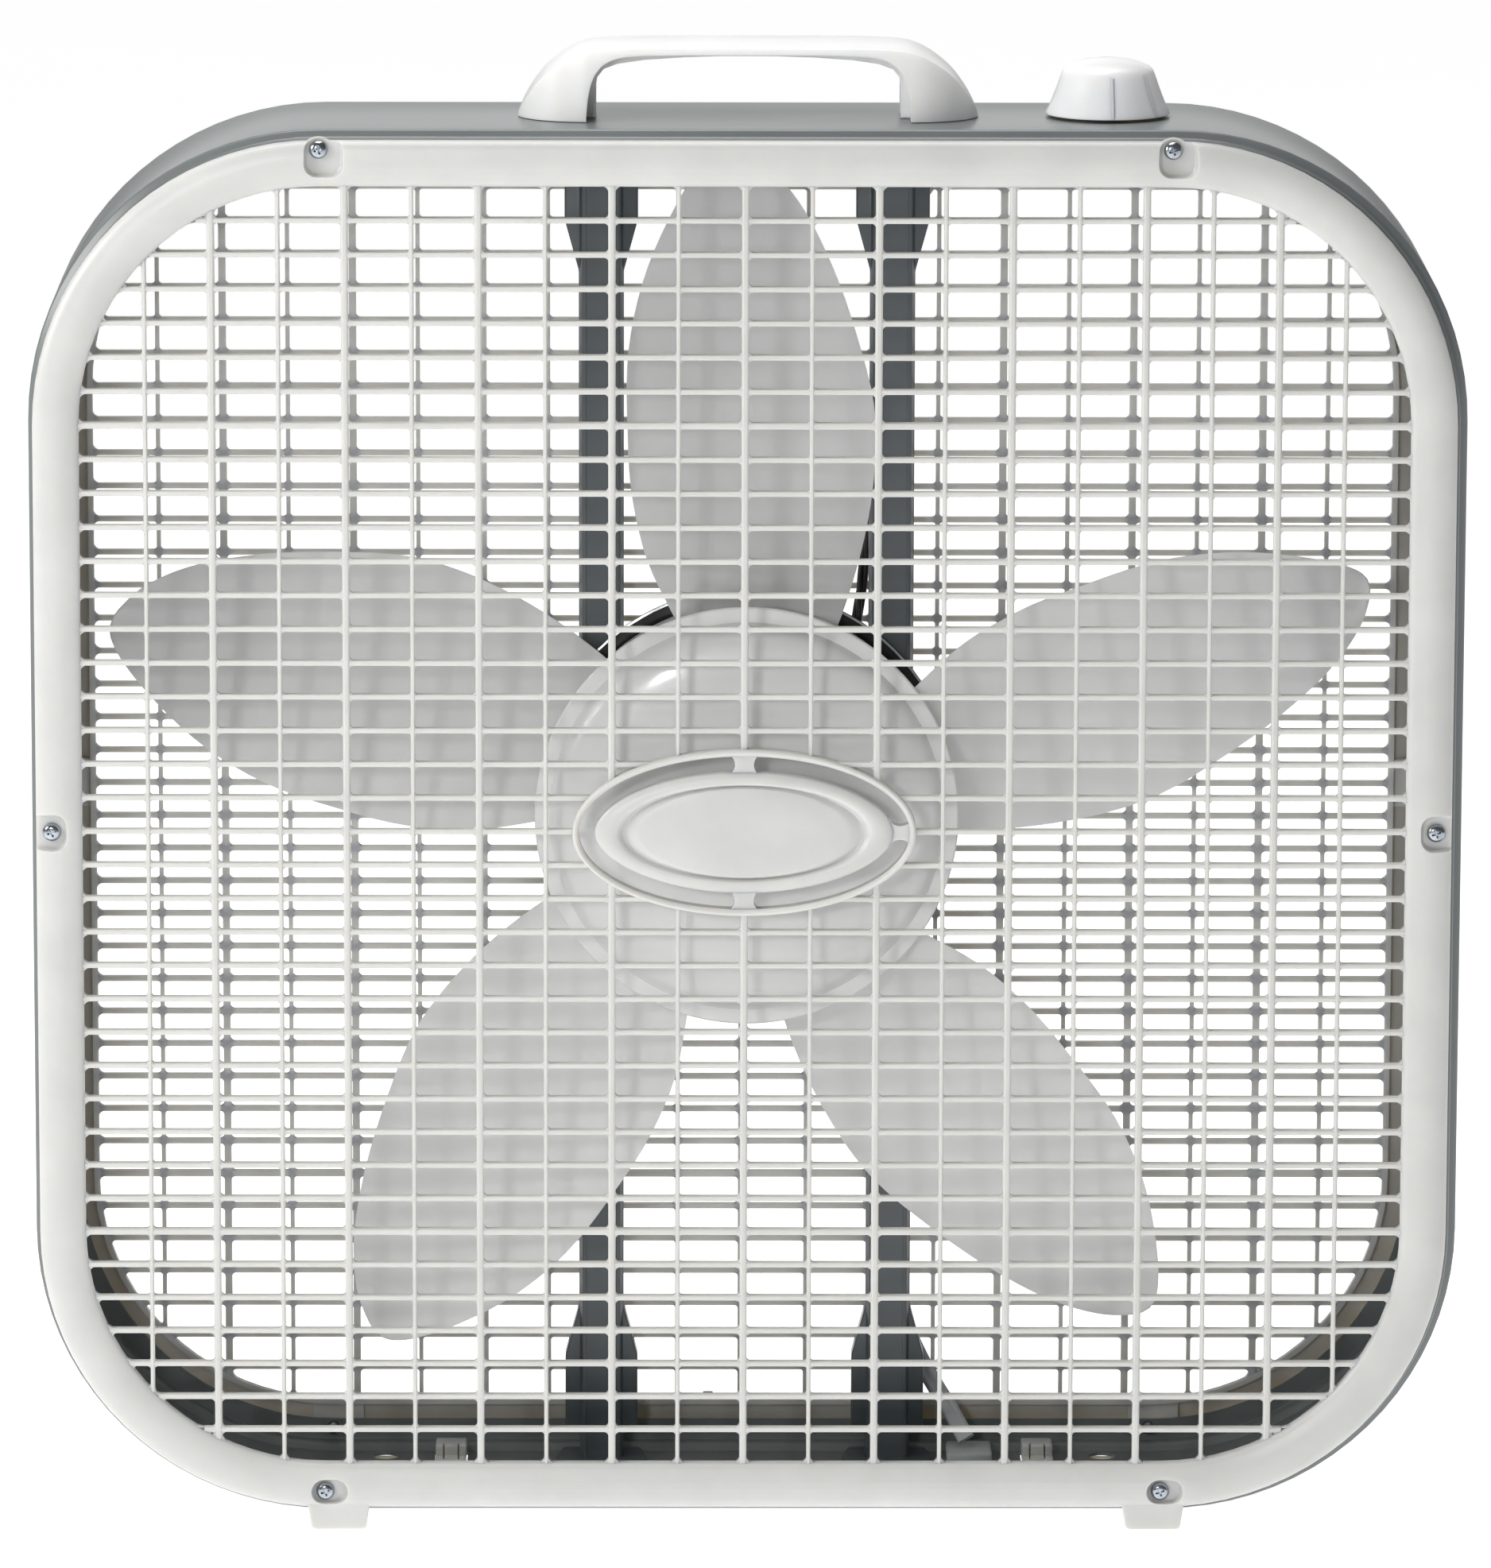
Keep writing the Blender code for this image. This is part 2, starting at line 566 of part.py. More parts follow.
def make_motor(looks):
    steel, black = looks["bright_steel"], looks["black_steel"]
    low, high = (y / MM for y in PLATE_Y)
    hole, edge = 12.0, PLATE_R / MM
    plate = turned("motor_plate", black, [(hole, low), (edge, low), (edge, high), (hole, high)], 32)
    cuts = bmesh.new()
    through = PLATE_Y[0] - MM, PLATE_Y[1] + MM
    for x, z in plate_screws():
        add_cylinder(cuts, (x, z), SCREW_R + GAP, "Y", *through, 8)
    add_cylinder(cuts, LEAD_HOLE, LEAD_HOLE_R, "Y", *through, 12)
    boolean(plate, cuts, "DIFFERENCE")

    turned("stator_core", looks["lamination"], [(25.8, -6), (46.0, -6), (46.0, 14), (25.8, 14)])
    coil = [(28.5, -15), (40, -15), (42, -11), (42, -6.4), (28.5, -6.4)]
    turned("front_winding", looks["copper"], coil)
    coil = [(28.5, 14.4), (42, 14.4), (42, 18), (40, 20.8), (28.5, 20.8)]
    turned("rear_winding", looks["copper"], coil)
    cup = [(9.2, -20.5), (44, -20.5), (49.5, -16), (49.5, 3.6)]
    cup += [(47.8, 3.6), (47.8, -15.2), (43, -18.8), (9.2, -18.8)]
    turned("motor_front_cover", steel, cup)
    cup = [(9.2, 23.6), (45, 23.6), (49.5, 20), (49.5, 4.2)]
    cup += [(47.8, 4.2), (47.8, 19.4), (44.2, 22.0), (9.2, 22.0)]
    turned("motor_rear_cover", steel, cup)
    bore = (SHAFT_R / MM + 0.06) / math.cos(math.pi / 20)
    for name, start in (("front_bearing", -21.5), ("rear_bearing", 16.5)):
        ring = [(bore, start), (8.8, start), (8.8, start + 8), (bore, start + 8)]
        turned(name, looks["bronze"], ring, 20)
    turned("motor_rotor", looks["lamination"], [(4.3, -6), (25.2, -6), (25.2, 14), (4.3, 14)])
    turned("motor_shaft", steel, [(0, -28.4), (3.4, -28.4), (4.0, -27.6), (4.0, 26.5), (0, 26.5)], 20)


def blade_mesh(bm, turn):
    """One swept, twisted and cambered blade, turned clockwise by an angle about the axis."""
    across = 5
    faces = {}
    for side in (-1, 1):
        for j, (radius, trail, lead, y_trail, y_lead) in enumerate(BLADE_STATIONS):
            for i in range(across + 1):
                v = i / across
                a = math.radians(trail + (lead - trail) * v) + turn
                chord = radius * math.radians(lead - trail)
                bow = BLADE_CAMBER * 4 * v * (1 - v) * min(1.0, chord / 90)
                y = (y_trail + (y_lead - y_trail) * v) * MM + bow
                thick = BLADE_HALF_THICKNESS * (1.25 - 0.5 * radius / BLADE_STATIONS[-1][0])
                r = radius * MM
                co = (r * math.sin(a), y + side * thick, AXIS_Z + r * math.cos(a))
                faces[side, j, i] = bm.verts.new(co)
    rows = len(BLADE_STATIONS)
    for j in range(rows - 1):
        for i in range(across):
            for side in (-1, 1):
                corners = (j, i), (j, i + 1), (j + 1, i + 1), (j + 1, i)
                bm.faces.new([faces[side, *corner] for corner in corners])
        for i in (0, across):
            bm.faces.new((faces[-1, j, i], faces[1, j, i], faces[1, j + 1, i], faces[-1, j + 1, i]))
    for j in (0, rows - 1):
        for i in range(across):
            bm.faces.new((faces[-1, j, i], faces[1, j, i], faces[1, j, i + 1], faces[-1, j, i + 1]))


def make_rotor(looks):
    """The moulded fan: a dished hub with a flange, five blades and a clip on its boss."""
    outer = [
        (4.3, -29.6), (30, -30.2), (58, -29.0), (71, -26.0), (76, -20.5), (82, -20.0),
        (82, -18.2), (80, -17.6), (77, 20),
    ]
    inner = [
        (75.2, 20), (78, -17), (73.8, -20.8), (69.5, -24.2), (57, -27.0), (30, -28.2),
        (9.4, -27.6), (9.4, -22.4), (4.3, -22.4),
    ]
    fan = turned("fan_blade", looks["fan_plastic"], outer + inner, 32)
    for i in range(BLADE_COUNT):
        bm = bmesh.new()
        blade_mesh(bm, 2 * math.pi * i / BLADE_COUNT)
        boolean(fan, bm, "UNION")
    clip = [(9.8, -26.5), (10.9, -26.5), (10.9, -23.5), (9.8, -23.5)]
    turned("hub_clip", looks["bright_steel"], clip, 20)


def make_tube(name, look, route, radius, sides_setting=2):
    """A cord along a smooth curve through the route's points, in mm."""
    points = smooth_route([Vector(p) * MM for p in route], 3.0 * radius)
    curve = bpy.data.curves.new(name, "CURVE")
    curve.dimensions = "3D"
    spline = curve.splines.new("POLY")
    spline.points.add(len(points) - 1)
    for knot, p in zip(spline.points, points):
        knot.co = (*p, 1.0)
    curve.bevel_depth = radius
    curve.bevel_resolution = sides_setting
    curve.use_fill_caps = True
    curve.materials.append(look)
    made = bpy.data.objects.new(name, curve)
    bpy.context.scene.collection.objects.link(made)


def smooth_route(knots, step):
    """Points about two steps apart on a Catmull-Rom curve through the knots."""
    line = []
    ends = [2 * knots[0] - knots[1], *knots, 2 * knots[-1] - knots[-2]]
    for a, b, c, d in zip(ends, ends[1:], ends[2:], ends[3:]):
        count = max(1, round((c - b).length / (2 * step)))
        for i in range(count):
            t = i / count
            square, cube = 2 * a - 5 * b + 4 * c - d, 3 * b - a - 3 * c + d
            line.append(0.5 * (2 * b + (c - a) * t + square * t**2 + cube * t**3))
    line.append(knots[-1])
    return line


def from_axis(points):
    """Route points given with z measured from the rotor's axis, in mm."""
    return [(x, y, z + AXIS_Z / MM) for x, y, z in points]


def make_wiring(looks):
    """The leads that the fan holds all the way, the cord grommet, and the free supply cord."""
    motor_lead = [
        (36.2, 12, 37.5), (38.2, 17.5, 40.5), (39.6, 24.8, 43), (40.8, 32, 49), (42.8, 38.5, 61),
        (45, 42.2, 79), (48, 43, 100), (51.5, 40, 121), (53.2, 35, 141), (53.2, 33.5, 165),
        (53.2, 33.5, 195), (53.2, 33.5, 225), (56, 37, 246), (68, 42.5, 257), (86, 40, 261),
        (104, 28, 260), (110.5, 12, 258), (116, 6.4, 256.4), (122, 6, 256),
    ]
    make_tube("motor_lead", looks["black_wire"], from_axis(motor_lead), 2.3 * MM)
    inner_lead = [
        (122.2, -6, 251.5), (115, -4.5, 251.8), (109, 2, 252.4), (101, 15, 253), (86, 32, 252),
        (75, 40.5, 244), (65, 40, 231), (61.4, 35, 214), (61.2, 33.5, 190), (61.2, 33.5, 140),
        (61.2, 33.5, 60), (61.2, 33.5, -60), (61.2, 33.5, -150), (61.2, 35, -185), (61.6, 40, -204),
        (64.5, 43, -219), (72.5, 42, -236), (82, 37, -251), (88, 31, -261),
    ]
    make_tube("inner_lead", looks["grey_cord"], from_axis(inner_lead), 2.0 * MM)
    make_grommet(looks["grey_cord"])

    route = [
        (89, 58.4, 2.6), (89, 64, 2.3), (89, 72, 2.2), (88.6, 82, 2.2), (86.4, 94, 2.2),
        (82.2, 104, 2.2), (76.4, 112.4, 2.2),
    ]
    make_tube("supply_cord", looks["grey_cord"], route, CORD_R)
    bm = bmesh.new()
    add_prism(bm, stadium(HANK_CENTRE, HANK_RUN / 2, HANK_HALF_W), "Z", *HANK_Z)
    place("cord_hank", bm, looks["grey_cord"])
    make_plug(looks["grey_cord"])


def make_grommet(look):
    """The cord's strain relief: a block on the wrapper's floor, its nose, and a tapered sleeve."""
    floor = BOTTOM_Z + SHEET
    near, far = SLOT_Y[0] - 2 * MM, SLOT_Y[1] + 2 * MM
    bm = bmesh.new()
    add_box(bm, (CORD_X - 9 * MM, near, floor + GAP), (CORD_X + 9 * MM, far, floor + 4.5 * MM))
    grommet = place("cord_grommet", bm, look)
    nose = bmesh.new()
    near, far = SLOT_Y[0] + 0.5 * MM, SLOT_Y[1] - 0.5 * MM
    add_box(nose, (CORD_X - 7 * MM, near, 0.8 * MM), (CORD_X + 7 * MM, far, floor + 2 * MM))
    boolean(grommet, nose, "UNION")
    sleeve = bmesh.new()
    half = [(6.0, 38.0), (4.2, 58.0)]
    outline = half + [(-x, y) for x, y in reversed(half)]
    add_prism(sleeve, [(CORD_X + x * MM, y * MM) for x, y in outline], "Z", 0.9 * MM, 4.6 * MM)
    boolean(grommet, sleeve, "UNION")


def stadium(centre, half_run, half_w, steps=10):
    """A rectangle along X with round ends."""
    points = []
    for side, start in ((1, -90), (-1, 90)):
        for i in range(steps + 1):
            a = math.radians(start + 180 * i / steps)
            x = centre[0] + side * half_run + half_w * math.cos(a)
            points.append((x, centre[1] + half_w * math.sin(a)))
    return points


def make_plug(look):
    """The moulded two-prong plug, lying at the end of the hank."""
    way = Vector((-math.cos(PLUG_TURN), -math.sin(PLUG_TURN), 0))
    across = Vector((-way.y, way.x, 0))

    def outline(middle, ends):
        """Corners of a tapered bar along the plug, from (distance, half width) at both its ends."""
        points = [PLUG_ENTRY + way * along + across * (middle + half) for along, half in ends]
        points += [PLUG_ENTRY + way * along + across * (middle - half) for along, half in reversed(ends)]
        return [(p.x, p.y) for p in points]

    bm = bmesh.new()
    body = outline(0.0, [(-2 * MM, 5.5 * MM), (10 * MM, 8.5 * MM), (PLUG_BODY, 11.3 * MM)])
    add_prism(bm, body, "Z", PLUG_ENTRY.z - 6.5 * MM, PLUG_ENTRY.z + 6.5 * MM)
    plug = place("plug", bm, look)
    prongs = bmesh.new()
    for side in (-1, 1):
        ends = [(PLUG_BODY - 2 * MM, 0.75 * MM), (PLUG_BODY + PLUG_PRONG, 0.75 * MM)]
        prong = outline(side * 6.35 * MM, ends)
        add_prism(prongs, prong, "Z", PLUG_ENTRY.z - 3.2 * MM, PLUG_ENTRY.z + 3.2 * MM)
    boolean(plug, prongs, "UNION")


def main():
    for old in list(bpy.data.objects):
        bpy.data.objects.remove(old)
    looks = {
        "casing_paint": material("casing_paint", (0.13, 0.145, 0.147), 0.28),
        "white_plastic": material("white_plastic", (0.82, 0.82, 0.80), 0.38),
        "fan_plastic": material("fan_plastic", (0.62, 0.63, 0.63), 0.4, alpha=0.85),
        "strut_paint": material("strut_paint", (0.09, 0.105, 0.115), 0.35),
        "zinc": material("zinc", (0.66, 0.68, 0.72), 0.25, 1.0),
        "bright_steel": material("bright_steel", (0.55, 0.56, 0.57), 0.35, 1.0),
        "black_steel": material("black_steel", (0.012, 0.012, 0.013), 0.35),
        "lamination": material("lamination", (0.30, 0.31, 0.33), 0.5, 1.0),
        "copper": material("copper", (0.60, 0.27, 0.12), 0.35, 1.0),
        "bronze": material("bronze", (0.52, 0.34, 0.15), 0.4, 1.0),
        "black_plastic": material("black_plastic", (0.02, 0.02, 0.022), 0.5),
        "black_wire": material("black_wire", (0.015, 0.015, 0.016), 0.45),
        "grey_cord": material("grey_cord", (0.46, 0.48, 0.49), 0.5),
    }
    make_casing(looks["casing_paint"])
    make_grille("front_grille", looks["white_plastic"], -1)
    make_grille("rear_grille", looks["white_plastic"], 1)
    make_screws(looks["zinc"])
    make_handle(looks["white_plastic"])
    make_speed_control(looks)
    make_struts(looks["strut_paint"])
    make_motor(looks)
    make_rotor(looks)
    make_wiring(looks)


main()
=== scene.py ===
"""The looks of the box fan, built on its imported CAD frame.

Metres, +Z up, the front of the fan towards -Y. Every piece stands for CAD nodes or dresses them,
and rides on the body that they belong to.
"""
import math

import bmesh
import bpy
from mathutils import Matrix, Vector


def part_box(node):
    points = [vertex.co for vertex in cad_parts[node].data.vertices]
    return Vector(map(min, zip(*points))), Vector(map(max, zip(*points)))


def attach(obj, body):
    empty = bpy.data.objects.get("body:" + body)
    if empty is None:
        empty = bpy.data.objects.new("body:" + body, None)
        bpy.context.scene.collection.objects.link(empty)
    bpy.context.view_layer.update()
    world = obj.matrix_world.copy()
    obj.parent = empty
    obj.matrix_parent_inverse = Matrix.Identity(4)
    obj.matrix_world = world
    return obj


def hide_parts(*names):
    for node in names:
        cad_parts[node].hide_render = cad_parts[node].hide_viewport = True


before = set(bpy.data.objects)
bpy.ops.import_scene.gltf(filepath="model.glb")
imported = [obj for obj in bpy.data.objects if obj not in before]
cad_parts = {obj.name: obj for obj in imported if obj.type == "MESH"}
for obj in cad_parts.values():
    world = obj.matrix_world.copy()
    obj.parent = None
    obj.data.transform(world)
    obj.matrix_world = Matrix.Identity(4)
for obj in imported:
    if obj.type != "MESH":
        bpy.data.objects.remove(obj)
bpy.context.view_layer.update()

MM = 0.001
GAP = 0.3 * MM  # between pieces that touch
HOUSING, ROTOR, KNOB = "housing", "rotor", "knob"

# Places taken from the frame
casing_low, casing_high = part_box("casing")
grille_low, grille_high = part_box("front_grille")
knob_low, knob_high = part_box("speed_knob")
strut_low, strut_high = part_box("right_strut")
plate_low, plate_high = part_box("motor_plate")
AXIS_Z = (casing_low.z + casing_high.z) / 2
TOP_Z, BOTTOM_Z = casing_high.z, casing_low.z
CASING_HALF_W, CASING_HALF_H = casing_high.x, TOP_Z - AXIS_Z
CASING_HALF_D = casing_high.y
GRILLE_X = (grille_low.x + grille_high.x) / 2
GRILLE_CROWN = -grille_low.y
KNOB_X = (knob_low.x + knob_high.x) / 2
STRUT_X = (strut_low.x + strut_high.x) / 2
PLATE_R = (plate_high.x - plate_low.x) / 2
PLATE_Y = (plate_low.y, plate_high.y)

# Sizes the frame does not state, in the same terms as the part's own source
SHEET = 1.2 * MM
CASING_CORNER = 112.0 * MM
CASING_HALF_FLAT = 43.0 * MM
RIM_STEP = 3.2 * MM
LIP = 12.6 * MM
BEZEL_HALF_W = (grille_high.x - grille_low.x) / 2
BEZEL_HALF_H = 266.8 * MM
BEZEL_CORNER = 109.5 * MM
BEZEL_WIDTH = 17.5 * MM
BAR_OUTER_Y = 52.9 * MM
BAR_INNER_Y = 48.9 * MM
PITCH_X = 50.8 * MM  # between the heavy upright bars, with a light one midway
PITCH_Z = 13.12 * MM
ROWS = 18  # level bars above the middle one, and as many below it
HEAVY_ROW = 12  # this many rows above and below the middle, the level bar is heavier
MEDALLION_HALF = (66.0 * MM, 32.4 * MM)
SCREW_X = 162.0 * MM
SCREW_TOP = 263.4 * MM
SCREW_BOTTOM = 260.4 * MM
SCREW_SIDE = 265.5 * MM
SCREW_SEAT_Y = 52.2 * MM
FOOT_X = 158.0 * MM
HOOK_X = 74.0 * MM  # the slots for the handle's hooks, each way from the middle
SLOT_X = 116.0 * MM  # the slots for the clips in the wrapper's floor
SLOT_SPAN = (22, 40)  # their ends in y, and those of the cord's opening, in mm
DRAIN = (142.0 * MM, 34.5 * MM)
HANDLE_FOOT_X = 62.0 * MM
HANDLE_HALF_W = 88.4 * MM
HANDLE_HALF_D = 23.0 * MM

BLADE_STATIONS = [
    (77.4, -19.5, 27.5, -17.0, 18.0),
    (104.0, -21.1, 25.0, -19.0, 22.0),
    (131.0, -19.7, 22.0, -19.5, 24.0),
    (158.0, -17.0, 18.4, -19.0, 23.5),
    (186.0, -14.3, 13.3, -16.5, 21.5),
    (212.0, -10.9, 8.9, -12.0, 19.5),
    (234.0, -7.3, 5.1, -6.0, 17.0),
    (248.0, -4.8, 2.0, -0.5, 13.5),
    (254.5, -3.3, -0.3, 3.5, 9.0),
    (256.6, -2.3, -1.5, 5.5, 7.0),
]
BLADE_COUNT = 5

# The cord: a flat twin lead, folded into a hank behind the fan
CORD_WIDTH = 7.1 * MM
CORD_THICK = 3.6 * MM
CORD_X = 89.0 * MM
HANK_CENTRE = Vector((-14.0, 94.6)) * MM
HANK_RUN = 112.0 * MM
FOLD_OUTER = 28.6 * MM
FOLD_INNER = 21.3 * MM
LAYERS = [(0.2 + 1.8 + i * 3.7) * MM for i in range(3)]
PLUG_TURN = math.radians(20)  # the plug points this far round from -X towards -Y
PLUG_ENTRY = Vector((-114.0, 98.0, 7.0)) * MM
LEAD_HOLE = (39.7 * MM, AXIS_Z + 43.3 * MM)  # where the motor's lead goes through its plate


# ---------------------------------------------------------------- camera, light and floor


def make_camera():
    """The camera at the angle the fan is shown from: nearly square on, and eleven degrees above it."""
    distance, elevation = 3.9, math.radians(11.0)
    aside = 32.0 * MM  # how far it stands to the left of the grille's middle
    front = -GRILLE_CROWN + 3 * MM
    place = Vector((GRILLE_X - aside, front - distance, AXIS_Z + distance * math.tan(elevation)))
    target = Vector((GRILLE_X + 0.4 * MM, front, AXIS_Z + 19.0 * MM))
    data = bpy.data.cameras.new("camera")
    data.lens = 237.8
    data.sensor_width = 36.0
    data.clip_end = 50.0
    camera = bpy.data.objects.new("camera", data)
    bpy.context.scene.collection.objects.link(camera)
    turn = (target - place).to_track_quat("-Z", "Y").to_matrix()
    roll = Matrix.Rotation(0.0025, 3, "Z")
    camera.matrix_world = Matrix.Translation(place) @ (turn @ roll).to_4x4()
    bpy.context.scene.camera = camera


def add_light(name, place, target, size, power, colour=(1.0, 1.0, 1.0)):
    data = bpy.data.lights.new(name, "AREA")
    data.shape = "RECTANGLE"
    data.size, data.size_y = size
    data.energy = power
    data.color = colour
    light = bpy.data.objects.new(name, data)
    bpy.context.scene.collection.objects.link(light)
    turn = (Vector(target) - Vector(place)).to_track_quat("-Z", "Y")
    light.matrix_world = Matrix.Translation(place) @ turn.to_matrix().to_4x4()


def make_studio():
    """A pale floor, a dim white surround, and soft lights from the left, the front, overhead and behind."""
    bpy.context.scene.view_settings.view_transform = "Standard"
    world = bpy.data.worlds.new("studio")
    world.use_nodes = True
    background = world.node_tree.nodes["Background"]
    background.inputs["Color"].default_value = (1.0, 1.0, 1.0, 1.0)
    background.inputs["Strength"].default_value = 0.14
    bpy.context.scene.world = world
    middle = (0.0, 0.0, AXIS_Z)
    add_light("key", (-1.15, -0.6, 0.85), middle, (0.5, 0.5), 9.0, (1.0, 0.99, 0.97))
    add_light("front", (-0.5, -2.1, 0.8), middle, (0.2, 0.2), 8.0)
    add_light("overhead", (-0.1, 0.05, 1.9), middle, (1.5, 0.9), 19.0)
    add_light("back", (0.0, 2.4, 1.35), (0.0, 0.0, TOP_Z), (3.0, 1.2), 11.0)

    bm = bmesh.new()
    half = 6.0
    corners = [(-half, -half), (half, -half), (half, half), (-half, half)]
    bm.faces.new([bm.verts.new((x, y, 0.0)) for x, y in corners])
    floor = object_from("floor", bm)
    glow = {"Emission Color": (1.0, 1.0, 1.0, 1.0), "Emission Strength": 0.86}
    look = material("floor_paint", (0.86, 0.86, 0.86), 0.7, mottle=(2.0, 0.02), grain=(300.0, 0.05),
        sockets=glow)
    floor.data.materials.append(look)


# ---------------------------------------------------------------- materials


def link_nodes(tree, source, output, target, entry):
    tree.links.new(source.outputs[output], target.inputs[entry])


def material(name, colour, roughness, metallic=0.0, mottle=(40.0, 0.04), grain=(1500.0, 0.15), sockets=None):
    """A surface with faint cloudy changes of tone, uneven gloss and a fine moulded or sprayed grain.

    mottle is the clouds' scale and how far they change the tone.
    grain is the fine bump's scale and strength.
    sockets are more of the shader's own values.
    """
    made = bpy.data.materials.new(name)
    made["slot"] = name
    made.use_nodes = True
    tree = made.node_tree
    shader = tree.nodes["Principled BSDF"]

    def add_node(kind, **values):
        node = tree.nodes.new("ShaderNode" + kind)
        for socket, value in values.items():
            node.inputs[socket.replace("_", " ")].default_value = value
        return node

    for socket, value in {"Metallic": metallic, **(sockets or {})}.items():
        shader.inputs[socket].default_value = value
    place = add_node("TexCoord")
    clouds = add_node("TexNoise", Scale=mottle[0], Detail=4.0)
    link_nodes(tree, place, "Object", clouds, "Vector")
    tone = add_node("ValToRGB")
    darkest, lightest = tone.color_ramp.elements
    darkest.position, lightest.position = 0.3, 0.7
    darkest.color = (*[c * (1 - mottle[1]) for c in colour], 1.0)
    lightest.color = (*[min(1.0, c * (1 + mottle[1])) for c in colour], 1.0)
    link_nodes(tree, clouds, "Fac", tone, "Fac")
    link_nodes(tree, tone, "Color", shader, "Base Color")
    gloss = add_node("MapRange", To_Min=roughness * 0.88, To_Max=roughness * 1.12)
    link_nodes(tree, clouds, "Fac", gloss, "Value")
    link_nodes(tree, gloss, "Result", shader, "Roughness")
    fine = add_node("TexNoise", Scale=grain[0], Detail=2.0)
    link_nodes(tree, place, "Object", fine, "Vector")
    bump = add_node("Bump", Strength=grain[1], Distance=0.05 * MM)
    link_nodes(tree, fine, "Fac", bump, "Height")
    link_nodes(tree, bump, "Normal", shader, "Normal")
    return made


def make_looks():
    """Every material of the fan, by name."""
    coat = {"Coat Weight": 0.15, "Coat Roughness": 0.18}
    soft = {"Subsurface Weight": 0.5, "Subsurface Radius": (1.0, 0.86, 0.62), "Subsurface Scale": 0.005}
    soft_fan = {"Subsurface Weight": 0.35, "Subsurface Radius": (1.0, 1.0, 1.0), "Subsurface Scale": 0.002}
    soft_fan |= {"Coat Weight": 0.3, "Coat Roughness": 0.1}
    looks = [
        material("white_plastic", (0.585, 0.587, 0.575), 0.36, sockets=soft),
        # the handle and knob: the same white plastic as the grilles, made lighter as painted light for the
        # stronger light that falls on the fan's top
        material("white_plastic_painted_light", (0.85, 0.85, 0.845), 0.32, sockets=soft),
        material("casing_paint", (0.16, 0.175, 0.176), 0.34, mottle=(25, 0.05), sockets=coat),
        material("strut_paint", (0.085, 0.100, 0.108), 0.34, mottle=(60, 0.07), sockets=coat),
        material("fan_plastic", (0.745, 0.75, 0.745), 0.3, mottle=(30, 0.03), sockets=soft_fan),
        material("zinc", (0.36, 0.39, 0.43), 0.2, 1.0, mottle=(300, 0.2), grain=(2500, 0.2)),
        material("bright_steel", (0.55, 0.56, 0.57), 0.32, 1.0, mottle=(120, 0.1)),
        material("black_steel", (0.012, 0.012, 0.013), 0.3, mottle=(50, 0.2), sockets=coat),
        layered_steel(),
        material("copper", (0.60, 0.27, 0.12), 0.35, 1.0, mottle=(200, 0.15)),
        material("bronze", (0.52, 0.34, 0.15), 0.4, 1.0, mottle=(200, 0.15)),
        material("black_plastic", (0.02, 0.02, 0.022), 0.5, grain=(2500, 0.5)),
        material("black_wire", (0.015, 0.015, 0.016), 0.42, mottle=(200, 0.2)),
        material("grey_cord", (0.46, 0.48, 0.49), 0.48, mottle=(120, 0.06), grain=(1200, 0.4)),
        material("brass", (0.70, 0.56, 0.28), 0.28, 1.0, mottle=(300, 0.08)),
    ]
    return {look["slot"]: look for look in looks}


def layered_steel():
    """Stacked steel sheets, seen as fine lines across the rotor's axis."""
    made = material("lamination", (0.30, 0.31, 0.33), 0.45, 1.0, mottle=(90, 0.15))
    tree = made.node_tree
    lines = tree.nodes.new("ShaderNodeTexWave")
    lines.bands_direction = "Y"
    lines.inputs["Scale"].default_value = 320.0
    link_nodes(tree, tree.nodes["Texture Coordinate"], "Object", lines, "Vector")
    bump = tree.nodes["Bump"]
    bump.inputs["Strength"].default_value = 0.8
    bump.inputs["Distance"].default_value = 0.2 * MM
    link_nodes(tree, lines, "Fac", bump, "Height")
    return made


# ---------------------------------------------------------------- mesh tools


def object_from(name, bm, smooth_angle=0.6):
    """An object called name from a bmesh, facing outwards and shaded smooth below the angle."""
    bmesh.ops.recalc_face_normals(bm, faces=bm.faces)
    mesh = bpy.data.meshes.new(name)
    bm.to_mesh(mesh)
    bm.free()
    mesh.shade_smooth()
    mesh.set_sharp_from_angle(angle=smooth_angle)
    made = bpy.data.objects.new(name, mesh)
    bpy.context.scene.collection.objects.link(made)
    return made


def apply_modifiers(obj, smooth_angle=0.6):
    """Replaces the object's mesh with what its modifiers make of it, and removes the Boolean tools."""
    tools = [m.object for m in obj.modifiers if m.type == "BOOLEAN"]
    bpy.context.view_layer.update()
    done = bpy.data.meshes.new_from_object(obj.evaluated_get(bpy.context.evaluated_depsgraph_get()))
    obj.modifiers.clear()
    obj.data = done
    for tool in tools:
        bpy.data.objects.remove(tool)
    done.shade_smooth()
    done.set_sharp_from_angle(angle=smooth_angle)


def boolean(target, bm, operation="DIFFERENCE"):
    """Adds a Boolean of the bmesh to the target, for apply_modifiers to carry out."""
    tool = object_from("tool", bm)
    modifier = target.modifiers.new(operation.title(), "BOOLEAN")
    modifier.operation = operation
    modifier.solver = "EXACT"
    modifier.use_self = True
    modifier.object = tool


def bevel(target, width, segments=2, angle=30.0):
    modifier = target.modifiers.new("Round edges", "BEVEL")
    modifier.width = width
    modifier.segments = segments
    modifier.limit_method = "ANGLE"
    modifier.angle_limit = math.radians(angle)


def settle(obj, look, body, *nodes, slot=None):
    """Gives a finished piece its material and its body, and hides the CAD nodes it stands for. slot is not
    used.
    """
    obj.data.materials.clear()
    obj.data.materials.append(look)
    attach(obj, body)
    if nodes:
        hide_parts(*nodes)
    return obj


